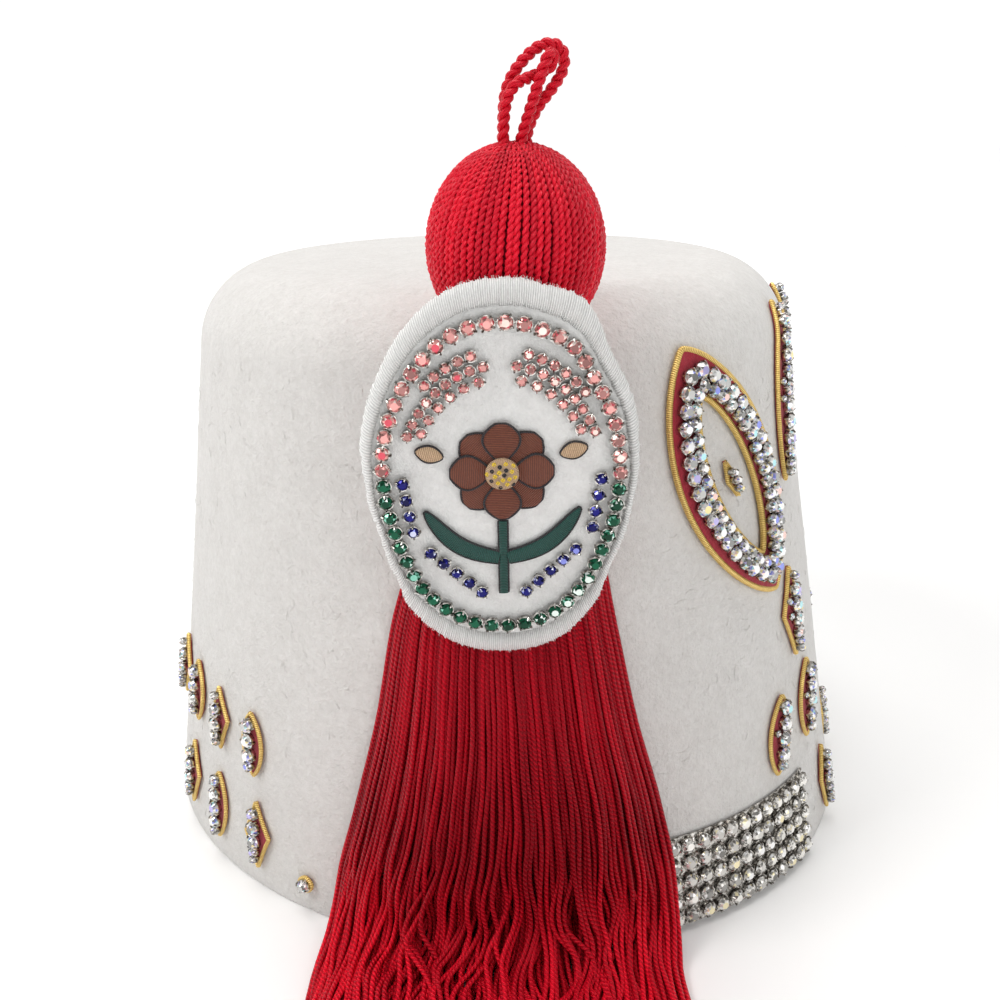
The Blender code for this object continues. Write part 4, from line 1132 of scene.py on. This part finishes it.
def badge_stone(shape, point, ahead, radius, colours, random, cup=1.2 * MM, rise=0.8 * MM):
    turn = Matrix.Rotation(atan2(ahead.y, ahead.x), 4, "Z")
    seat = BADGE @ Matrix.Translation((point.x, point.y, BADGE_LOW)) @ turn
    cut_stone(shape, seat, radius, cup, rise, colours, random)


PINK = (0.95, 0.43, 0.40)
GREEN = (0.003, 0.11, 0.052)
BLUE = (0.006, 0.006, 0.19)
CLEAR = (0.93, 0.93, 0.90)
WHITE = (1.0, 1.0, 1.0)
# Painted coloured flashes and white glints for the clear stones' facets
CLEAR_PAINTED_FLASHES = (
    (0.30, 0.34, 0.85), (0.55, 0.50, 0.85), (0.98, 0.83, 0.42), (0.95, 0.66, 0.60), (0.50, 0.85, 0.90),
    WHITE, WHITE, WHITE, WHITE,
)
GREY = (0.93, 0.91, 0.86)
# Painted white and golden glints for the grey stones' facets
GREY_PAINTED_FLASHES = (WHITE, WHITE, (0.95, 0.85, 0.55))

# Stones of the badge's fields: their arcs' reach in the embroidery's units with the first and last angle in
# degrees, and the least distance from a stone of the chain, middle to middle
FIELD_ARCS = ((17.3, 31, 77), (19.4, 26, 81), (21.5, 32, 76))
FIELD_STONE = 1.02 * MM
FIELD_PITCH = 2.35 * UNIT
FIELD_CLEARANCE = STONE_RADIUS + FIELD_STONE + 0.42 * MM

# Both ends of the badge's short stone rows on the right-hand side, in the embroidery's units
SPRAYS = (((4.4, -23.6), (14.2, -14.4)), ((17.4, -9.6), (18.9, 0.6)))
SPRAY_STONE = 1.2 * MM
SPRAY_PITCH = 2.7 * MM


def make_badge_stones(looks):
    """The chain round the badge, its two fields of stones and its four short rows."""
    random = Random(21)
    places, greens = chain_places()
    pink = tones(PINK, ((1.0, 0.86, 0.80), (1.0, 0.75, 0.68), (0.75, 0.10, 0.14)), 0.3)
    green = tones(GREEN, ((0.25, 0.62, 0.48), (0.8, 0.9, 0.85)), 0.3)
    blue = tones(BLUE, ((0.25, 0.28, 0.75), (0.65, 0.68, 0.9)), 0.3)

    def finish(shape, name, slot):
        shape.finished("stones_" + name, [looks["stone"], looks["silver"]], slot, ["badge_" + name], sharp=12)

    for colour, rows, colours in (("pink", places[:greens], pink), ("green", places[greens:], green)):
        shape = Shape()
        for point, ahead in rows:
            badge_stone(shape, point, ahead, STONE_RADIUS + 0.02 * MM, colours, random)
        for (here, _), (there, _) in zip(rows, rows[1:]):
            ends = [here.lerp(there, share) for share in (0.38, 0.62)]
            bridge = [on_badge(end.x, end.y, BADGE_LOW + 0.5 * MM) for end in ends]
            shape.tube(bridge, 0.3 * MM, 6, CUP_SLOT)
        finish(shape, "chain_" + colour, colour + "_stone")

    for side, word in ((-1, "left"), (1, "right")):
        shape = Shape()
        for reach, low, high in FIELD_ARCS:
            angles = [radians(angle) for angle in range(low, high + 1)]
            arc = [Vector((cos(angle), sin(angle) * 1.22)) * reach * UNIT for angle in angles]
            for point in evenly(arc, FIELD_PITCH):
                point.x *= side
                if min((point - place).length for place, _ in places) >= FIELD_CLEARANCE:
                    badge_stone(shape, point, Vector((1, 0)), FIELD_STONE, pink, random, 0.9 * MM, 0.6 * MM)
        finish(shape, "field_" + word, "pink_stone")
        for number, ends in enumerate(SPRAYS, 1):
            shape = Shape()
            start, end = [Vector((side * x, y)) * UNIT for x, y in ends]
            count = max(3, int((end - start).length / SPRAY_PITCH) + 1)
            for i in range(count):
                point = start.lerp(end, i / (count - 1))
                badge_stone(shape, point, end - start, SPRAY_STONE, blue, random, 1.0 * MM, 0.7 * MM)
            finish(shape, f"spray_{number}_{word}", "blue_stone")


def stitched_leaf(shape, spine, halves, low=BADGE_LOW, rise=EMBROIDERY):
    """A raised pad of satin stitch along a spine, its threads across it, with a dark thread round it."""
    spine = [Vector(point) for point in spine]
    rings = []
    lefts = []
    rights = []
    for i, (point, half) in enumerate(zip(spine, halves)):
        ahead = spine[min(i + 1, len(spine) - 1)] - spine[max(i - 1, 0)]
        side = Vector((-ahead.y, ahead.x)).normalized() * half
        swell = rise * min(1, half / (0.5 * MM))
        ring = []
        for k in range(9):
            angle = pi * k / 8
            place = point + side * cos(angle)
            ring.append(on_badge(place.x, place.y, low + swell * (0.35 + 0.65 * sin(angle))))
        ring += [on_badge(place.x, place.y, low) for place in (point - side, point + side)]
        rings.append(ring)
        lefts.append(point + side)
        rights.append(point - side)
    lengths = lengths_along(spine)
    shape.skin(rings, maps=lambda i, k: (k / 11, lengths[i]))
    shape.close(rings, 0)
    edge = [Vector((p.x, p.y, 0)) for p in lefts + rights[::-1]]
    path = [on_badge(p.x, p.y, low + 0.45 * rise) for p in evenly(edge, 0.5 * MM, closed=True)]
    shape.tube(path, 0.24 * MM, 6, 1, closed=True)


HEART = Vector((0.0, 2.5 * UNIT))
HEART_RADIUS = 3.2 * UNIT
PETALS = 8
KNOTS = 19

# From knot to knot the golden angle, which spreads them evenly
KNOT_TURN = 2.39996


def make_embroidery(looks):
    """A flower with two buds over a sprig, in raised satin stitch with dark outlines."""
    flower = Shape()
    shares = [k / 14 for k in range(15)]
    for i, turn in enumerate(circle(PETALS)):
        way = Vector((sin(turn), cos(turn)))
        spine = [HEART + way * UNIT * (2.6 + 7.2 * share) for share in shares]
        halves = [UNIT * 3.55 * sin(pi * (0.12 + 0.83 * share) ** 1.25) ** 0.75 for share in shares]
        raised = 0.0 if i % 2 else 0.4 * MM
        stitched_leaf(flower, spine, halves, BADGE_LOW + raised, EMBROIDERY - 0.4 * MM)
    flower.finished("flower_petals", [looks["brown"], looks["dark"]], "brown_thread", ["badge_flower"])

    centre = Shape()
    foot = BADGE_LOW + EMBROIDERY + GAP

    def round_heart(middle, out, height, count):
        return [on_badge(middle.x + out * cos(t), middle.y + out * sin(t), height) for t in circle(count)]

    rings = []
    for level, share in ((0.0, 1.0), (0.45, 1.0), (0.8, 0.82), (1.0, 0.5), (1.08, 0.2)):
        rings.append(round_heart(HEART, HEART_RADIUS * share, foot + EMBROIDERY * level, 48))
    ends = [on_badge(HEART.x, HEART.y, foot + EMBROIDERY * level) for level in (0.0, 1.1)]
    around = 2 * pi * HEART_RADIUS / 48
    centre.skin(rings, start=ends[0], end=ends[1], maps=lambda i, k: (0.0, around * k))
    for k in range(KNOTS):
        out = 2.9 * UNIT * sqrt((k + 0.3) / KNOTS)
        spot = HEART + Vector((cos(k * KNOT_TURN), sin(k * KNOT_TURN))) * out
        height = foot + EMBROIDERY * (1.0 - 0.6 * (out / HEART_RADIUS) ** 2)
        knot = round_heart(spot, 0.25 * MM, height, 8)
        centre.tube(knot, 0.26 * MM, 6, 1 if k % 3 else 2, closed=True)
    materials = [looks["tan"], looks["yellow"], looks["dark"]]
    centre.finished("flower_heart", materials, "tan_thread", ["badge_flower_centre"])

    sprig = Shape()
    stem = [Vector((0.0, -24.0 + 16.1 * k / 12)) * UNIT for k in range(13)]
    stitched_leaf(sprig, stem, [0.9 * UNIT] * 13)
    shares = [k / 20 for k in range(21)]
    for side in (-1, 1):
        root = Vector((side * 0.9, -16.0))
        tip = Vector((side * 15.0, -5.5))
        bow = Vector((side * 0.45, -1.0)).normalized() * 2.3
        spine = [(root.lerp(tip, share) + bow * sin(pi * share)) * UNIT for share in shares]
        halves = [UNIT * 2.5 * max(0.12, (1 - share) ** 0.55 * (0.55 + 0.9 * share)) for share in shares]
        stitched_leaf(sprig, spine, halves)
    sprig.finished("sprig_leaves", [looks["teal"], looks["dark"]], "teal_thread", ["badge_sprig"])

    for side, word in ((-1, "left"), (1, "right")):
        bud = Shape()
        angle = pi / 2 - side * radians(74)
        way = Vector((cos(angle), sin(angle)))
        middle = Vector((side * 13.6, 6.5)) * UNIT
        spine = [middle + way * UNIT * 2.6 * (2 * k / 12 - 1) for k in range(13)]
        halves = [1.7 * UNIT * sin(pi * (0.04 + 0.92 * k / 12)) ** 0.8 for k in range(13)]
        stitched_leaf(bud, spine, halves)
        bud.finished("bud_" + word, [looks["tan"], looks["dark"]], "tan_thread", ["badge_bud_" + word])


# Ornaments on the wall


def ring_line(inset, turn):
    """A point of the big pointed ring's outline, a distance inside its outer edge."""
    side = abs(cos(turn)) ** 1.5 * (RING_WIDTH / 2 - inset)
    return Vector((side if cos(turn) > 0 else -side, (RING_LENGTH / 2 - inset * 1.35) * sin(turn)))


def wall_stone(shape, on_wall, x, y, lift, radius, colours, random, cup=1.3 * MM, rise=1.1 * MM):
    """A cut stone on the wall, leaning a little at random."""
    point = on_wall(x, y, lift)
    outward = (on_wall(x, y, lift + 1 * MM) - point).normalized()
    ahead = on_wall(x, y + 1 * MM, lift) - point
    tilt = Vector([random.uniform(-0.07, 0.07) for _ in range(3)])
    cut_stone(shape, seat_at(point, outward + tilt, ahead), radius, cup, rise, colours, random)


def gold_cord(shape, on_wall, line, lift, radius, slot):
    path = [on_wall(point.x, point.y, lift) for point in line]
    shape.tube(evenly(path, 0.55 * MM, closed=True), radius, 8, slot, closed=True)


def felt_pad(shape, on_wall, outline, low, high, slot):
    """A filled pad to an outline about its middle, with a soft edge."""
    rings = []
    for share, lift in ((1.0, low), (1.02, (low + high) / 2), (0.98, high)):
        rings.append([on_wall(p.x * share, p.y * share, lift) for p in outline])
    for share in (0.8, 0.6, 0.4, 0.2):
        rings.append([on_wall(p.x * share, p.y * share, high) for p in outline])
    shape.skin(rings, slot, start=on_wall(0, 0, low), end=on_wall(0, 0, high))


# The big ring's two rows of stones: how far inside its outline, the stones' radius and their pitch
RING_ROWS = ((4.15 * MM, 1.72 * MM, 3.75 * MM), (6.85 * MM, 1.45 * MM, 3.25 * MM))


def make_ring(word, on_wall, looks, random, colours):
    """The big pointed ring: a felt pad, gold cord at both its edges and two rows of stones."""
    fine = circle(240)
    cord = CORD_RADIUS
    for name, line in (("outer", cord), ("inner", RING_FLANK - cord)):
        shape = Shape()
        gold_cord(shape, on_wall, [ring_line(line, t) for t in fine], GAP + cord, cord, 0)
        shape.finished(f"gold_ring_{name}_{word}", [looks["gold"]], "gold_cord", [f"ring_cord_{name}_{word}"])

    shape = Shape()
    high = GAP + PAD_THICKNESS
    rings = []
    for turn in fine:
        out = ring_line(1.6 * cord, turn)
        into = ring_line(RING_FLANK - 1.6 * cord, turn)
        corners = ((out, GAP), (out, high), (into, high), (into, GAP))
        rings.append([on_wall(point.x, point.y, lift) for point, lift in corners])
    shape.skin(rings, around=True)
    shape.finished("ring_pad_" + word, [looks["red felt"]], "red_felt", ["ring_felt_" + word], sharp=40)

    shape = Shape()
    for line, radius, pitch in RING_ROWS:
        for point in evenly([ring_line(line, t) for t in fine], pitch, closed=True):
            size = radius * random.uniform(0.94, 1.06)
            x, y = [place + random.uniform(-0.18, 0.18) * MM for place in point]
            wall_stone(shape, on_wall, x, y, high, size, colours, random)
    materials = [looks["stone"], looks["silver"]]
    shape.finished("ring_stones_" + word, materials, "clear_crystal", ["ring_crystals_" + word], sharp=12)


# The crystal panel: the turn of its front end in degrees, and its stones
BAND_START = 21.6
BAND_ROWS = 5
BAND_COLUMNS = 12
BAND_STONE = 1.78 * MM
BACKING = 0.5 * MM
BACKING_STEPS = 24


def make_band(word, side, looks, random, colours):
    """Rows of stones on a thin metal backing, from near the wearer's front to the fringe."""
    low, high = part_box("crystal_band_" + word)
    start = radians(BAND_START) + 0.2 * MM / BASE_LENGTH
    end = atan2((abs(low[1]) if side < 0 else high[1]) / BASE_WIDTH, low[0] / BASE_LENGTH)

    def column(share):
        return wall_mapper(degrees(side * (start + (end - start) * share)), BAND_FOOT, 0.0)

    shape = Shape()
    backing = []
    corners = ((0.0, GAP), (BAND_HEIGHT, GAP), (BAND_HEIGHT, GAP + BACKING), (0.0, GAP + BACKING))
    for i in range(BACKING_STEPS + 1):
        on_wall = column(i / BACKING_STEPS)
        backing.append([on_wall(0.0, rise, lift) for rise, lift in corners])
    shape.skin(backing, CUP_SLOT)
    shape.close(backing, CUP_SLOT)
    for row in range(BAND_ROWS):
        for place in range(BAND_COLUMNS):
            on_wall = column((place + 0.5) / BAND_COLUMNS)
            up = BAND_HEIGHT * (row + 0.5) / BAND_ROWS + random.uniform(-0.15, 0.15) * MM
            radius = BAND_STONE * random.uniform(0.95, 1.04)
            aside = random.uniform(-0.12, 0.12) * MM
            wall_stone(shape, on_wall, aside, up, 2 * GAP, radius, colours, random, 1.0 * MM, 0.9 * MM)
    materials = [looks["stone"], looks["silver"]]
    shape.finished("band_stones_" + word, materials, "clear_crystal", ["crystal_band_" + word], sharp=12)


def pointed_oval(length, width, turn):
    side = abs(cos(turn)) ** 1.7 * width / 2
    return Vector((side if cos(turn) > 0 else -side, length / 2 * sin(turn)))


def lozenge(length, width, turn):
    pull = 1 / (abs(cos(turn)) + abs(sin(turn))) ** 1.15
    return Vector((width / 2 * pull * cos(turn), length / 2 * pull * sin(turn)))


MOTIF_EDGE = 0.62 * MM
MOTIF_STONE = 1.85 * MM


def make_motif(name, shape_of, length, width, on_wall, looks, random, colours, node):
    """A red felt pad with a gold cord round it and stones down its middle."""
    shape = Shape()
    outline = [shape_of(length - 2 * MOTIF_EDGE, width - 2 * MOTIF_EDGE, turn) for turn in circle(60)]
    felt_pad(shape, on_wall, outline, GAP, GAP + 1.0 * MM, 2)
    gold_cord(shape, on_wall, outline, GAP + 0.75 * MM, 0.56 * MM, 3)
    largest = min(MOTIF_STONE, width * 0.27)
    if length < 8 * MM:
        wall_stone(shape, on_wall, 0, 0, GAP + 0.6 * MM, largest * 1.15, colours, random)
    else:
        seat = GAP + 0.9 * MM
        reach = length / 2 - 2.3 * MM
        up = -reach
        stops = []
        while up <= reach:
            radius = max(0.9 * MM, min(largest, half_width(shape_of, length, width, up) * 0.62))
            stops.append((up, radius))
            up += 2 * radius + 0.25 * MM
        spare = reach - stops[-1][0]
        for up, radius in stops:
            up += spare / 2
            wall_stone(shape, on_wall, 0, up, seat, radius, colours, random)
            if half_width(shape_of, length, width, up) - 2 * MOTIF_EDGE > radius + 1.3 * MM:
                for side in (-1, 1):
                    x, y = side * (radius + 0.85 * MM), up + radius * 0.9
                    wall_stone(shape, on_wall, x, y, seat, 0.72 * MM, colours, random, 0.9 * MM, 0.6 * MM)
    materials = [looks["stone"], looks["silver"], looks["red felt"], looks["gold"]]
    shape.finished(name, materials, "gold_motif", [node], sharp=25)


def half_width(shape_of, length, width, up):
    """Half the outline's width at a height above its middle."""
    quarter = circle(240)[:60]
    points = [shape_of(length, width, turn) for turn in quarter]
    return abs(min(points, key=lambda point: abs(point.y - abs(up))).x)


# Motifs: turn round the oval in degrees, height as a share of the hat's, length and width as shares of the
# motif's, tilt in degrees to the left, and outline
Motif = namedtuple("Motif", "name turn height length width tilt outline")
MOTIFS = (
    Motif("ring_drop", 35.3, 0.705, 0.60, 0.45, 22, lozenge),
    Motif("front_lozenge", 20.0, 0.445, 1.40, 1.20, 0, lozenge),
    Motif("low_leaf_1", 28.0, 0.255, 1.20, 1.05, -14, pointed_oval),
    Motif("low_leaf_2", 17.0, 0.275, 1.20, 1.05, -14, pointed_oval),
    Motif("rim_lozenge", 11.0, 0.085, 1.15, 0.85, 0, lozenge),
    Motif("back_upper_1", 118.0, 0.262, 1.00, 0.90, 6, pointed_oval),
    Motif("back_upper_2", 127.5, 0.270, 1.00, 1.05, 6, lozenge),
    Motif("back_upper_3", 137.0, 0.278, 1.00, 0.90, 6, pointed_oval),
    Motif("back_upper_4", 146.5, 0.286, 1.00, 1.05, 6, lozenge),
    Motif("back_lower_1", 116.5, 0.100, 1.10, 1.10, 4, lozenge),
    Motif("back_lower_2", 127.0, 0.104, 1.10, 0.90, 4, pointed_oval),
    Motif("back_lower_3", 138.0, 0.108, 1.10, 1.10, 4, lozenge),
    Motif("back_dot", 106.5, 0.053, 0.28, 0.56, 0, pointed_oval),
    Motif("tall_leaf", 14.3, 0.80, TALL_LEAF_LENGTH / MOTIF_LENGTH, 1.00, -11, pointed_oval),
)
RING = Motif("ring", 34.8, 0.705, 1.0, 1.0, 22, None)


def make_wall_ornaments(looks):
    """The ornaments of the wearer's right, at negative turns, and their mirror image on the left."""
    random = Random(40)
    clear = tones(CLEAR, CLEAR_PAINTED_FLASHES, 0.18)
    grey = tones(GREY, GREY_PAINTED_FLASHES, 0.22)
    for word, side in (("right", -1), ("left", 1)):

        def mapper(row, side=side):
            return wall_mapper(side * row.turn, row.height * HAT_HEIGHT, -side * radians(row.tilt))

        make_ring(word, mapper(RING), looks, random, clear)
        make_band(word, side, looks, random, grey)
        for row in MOTIFS:
            node = row.name + "_" + word
            size = (row.length * MOTIF_LENGTH, row.width * MOTIF_WIDTH)
            make_motif("jewelled_" + node, row.outline, *size, mapper(row), looks, random, clear, node)


# Studio

SKY_SEEN = 1.05
SKY_BACK = 0.88
SKY_FRONT = 0.38
FLOOR_GLOW = 0.45
GLOW_FROM = 0.28
GLOW_FULL = 1.2

# Lamps: name, place, size and power
LAMPS = (
    ("key", (-0.75, -0.60, 0.95), 0.50, 6.4),
    ("fill", (0.85, -0.75, 0.50), 0.70, 2.5),
    ("top", (-0.10, 0.10, 1.40), 0.90, 9.0),
)
LAMP_COLOUR = (1.0, 0.985, 0.965)
LAMP_AIM = Vector((0, -0.03, 0.08))

# The photograph's camera, fitted to the crown: heading to the left of +Y, pitch over the horizon, and roll
CAMERA_PLACE = (0.0715, -0.2624, 0.1844)
CAMERA_HEADING = radians(14.90)
CAMERA_PITCH = radians(-20.80)
CAMERA_ROLL = radians(-1.30)


def make_floor():
    """A wide pale floor that glows a little away from the hat."""
    far = 6.0
    mesh = bpy.data.meshes.new("floor")
    mesh.from_pydata([(-far, -far, 0), (far, -far, 0), (far, far, 0), (-far, far, 0)], [], [(0, 1, 2, 3)])
    look = Look("pale floor", (0.93, 0.93, 0.93), 0.8, Specular_IOR_Level=0.2)
    look.paint(look.blend(look.speckle(9.0, 3.0), (0.92, 0.92, 0.92), (0.95, 0.95, 0.95)))
    look.feed(look.shader.inputs["Emission Color"], WHITE)
    off = look.node("VectorMath", operation="LENGTH")
    look.feed(off.inputs[0], look.place())
    glow = look.ranged(off.outputs["Value"], From_Min=GLOW_FROM, From_Max=GLOW_FULL, To_Max=FLOOR_GLOW)
    look.feed(look.shader.inputs["Emission Strength"], glow)
    mesh.materials.append(look.material)
    floor = bpy.data.objects.new("floor", mesh)
    bpy.context.scene.collection.objects.link(floor)


def make_sky():
    """Soft white light, weaker from the front, before a backdrop that shows plain white."""
    world = bpy.data.worlds.new("studio")
    bpy.context.scene.world = world
    world.use_nodes = True
    sky = Nodes(world.node_tree)
    way = sky.node("SeparateXYZ")
    sky.feed(way.inputs[0], sky.node("TexCoord").outputs["Generated"])
    fade = sky.ranged(way.outputs[1], From_Min=-0.2, From_Max=0.5, To_Min=SKY_FRONT, To_Max=SKY_BACK)
    seen = sky.maths("MULTIPLY", sky.node("LightPath").outputs["Is Camera Ray"], SKY_SEEN)
    background = world.node_tree.nodes["Background"]
    sky.feed(background.inputs["Color"], WHITE)
    sky.feed(background.inputs["Strength"], sky.maths("MAXIMUM", fade, seen))


def make_studio():
    scene = bpy.context.scene
    scene.view_settings.view_transform = "Standard"
    make_floor()
    make_sky()
    for name, place, size, power in LAMPS:
        lamp = bpy.data.lights.new(name, "AREA")
        lamp.size = size
        lamp.energy = power
        lamp.color = LAMP_COLOUR
        thing = bpy.data.objects.new(name, lamp)
        thing.location = place
        thing.rotation_euler = (LAMP_AIM - Vector(place)).to_track_quat("-Z", "Y").to_euler()
        scene.collection.objects.link(thing)

    camera = bpy.data.cameras.new("camera")
    camera.sensor_width = 36.0
    camera.lens = 36.0
    camera.clip_start = 0.01
    thing = bpy.data.objects.new("camera", camera)
    heading = Matrix.Rotation(CAMERA_HEADING, 4, "Z")
    pitch = Matrix.Rotation(pi / 2 + CAMERA_PITCH, 4, "X")
    roll = Matrix.Rotation(CAMERA_ROLL, 4, "Z")
    thing.matrix_world = Matrix.Translation(CAMERA_PLACE) @ heading @ pitch @ roll
    scene.collection.objects.link(thing)
    scene.camera = thing


def main():
    make_studio()
    looks = {
        "felt": felt_look("white felt", (0.755, 0.742, 0.725), (0.57, 0.553, 0.532), 1500.0, 0.24 * MM),
        "ground": felt_look("badge felt", (0.88, 0.88, 0.87), (0.68, 0.68, 0.67), 1500.0, 0.22 * MM),
        # The ball's plies are painted lighter than the loops' ply, as painted light on the ball
        "ply": ply_look("red ply", (0.50, 0.003, 0.014), (0.98, 0.014, 0.045), 0.36),
        "loop": ply_look("loop ply", (0.34, 0.001, 0.008), (0.80, 0.008, 0.028), 0.42),
        "strand": cord_look(
            "red strand", (0.24, 0.001, 0.006), (0.88, 0.008, 0.028), 2.0, 1.15 * MM, 0.30 * MM
        ),
        # The core's colour is far darker than the plies': painted shade in the gaps between the ball's
        # columns
        "core": ply_look("red core", (0.06, 0.0, 0.004), (0.16, 0.0, 0.008), 0.8),
        "border": thread_look("white stitches", (0.58, 0.58, 0.57), (0.92, 0.92, 0.91), 1.0),
        "brown": thread_look("brown stitches", (0.055, 0.013, 0.006), (0.23, 0.062, 0.030)),
        "tan": thread_look("tan stitches", (0.33, 0.20, 0.11), (0.70, 0.49, 0.31)),
        "teal": thread_look("teal stitches", (0.001, 0.020, 0.016), (0.007, 0.095, 0.074)),
        "yellow": thread_look("yellow stitches", (0.60, 0.36, 0.02), (0.98, 0.72, 0.05)),
        "dark": thread_look("dark stitches", (0.004, 0.004, 0.006), (0.03, 0.025, 0.03)),
        "gold": gold_look(),
        "red felt": felt_look("red felt", (0.46, 0.010, 0.035), (0.24, 0.004, 0.016), 2200.0),
        "stone": stone_look(),
        "silver": silver_look(),
    }
    make_crown([looks["felt"]])
    make_ball([looks["ply"], looks["core"]])
    make_loop("loop_outer_cord", OUTER_LOOP, "tassel_loop_outer", [looks["loop"]])
    make_loop("loop_inner_cord", INNER_LOOP, "tassel_loop_inner", [looks["loop"]])
    make_fringe([looks["strand"]])
    make_border([looks["border"]])
    make_ground([looks["ground"]])
    make_badge_stones(looks)
    make_embroidery(looks)
    make_wall_ornaments(looks)
    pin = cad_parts["tassel_pin"]
    steel = Look("pin steel", (0.6, 0.6, 0.62), 0.3, Metallic=1.0)
    steel.emboss(steel.speckle(3000.0), 0.02 * MM)
    pin.data.materials.clear()
    pin.data.materials.append(steel.material)


main()
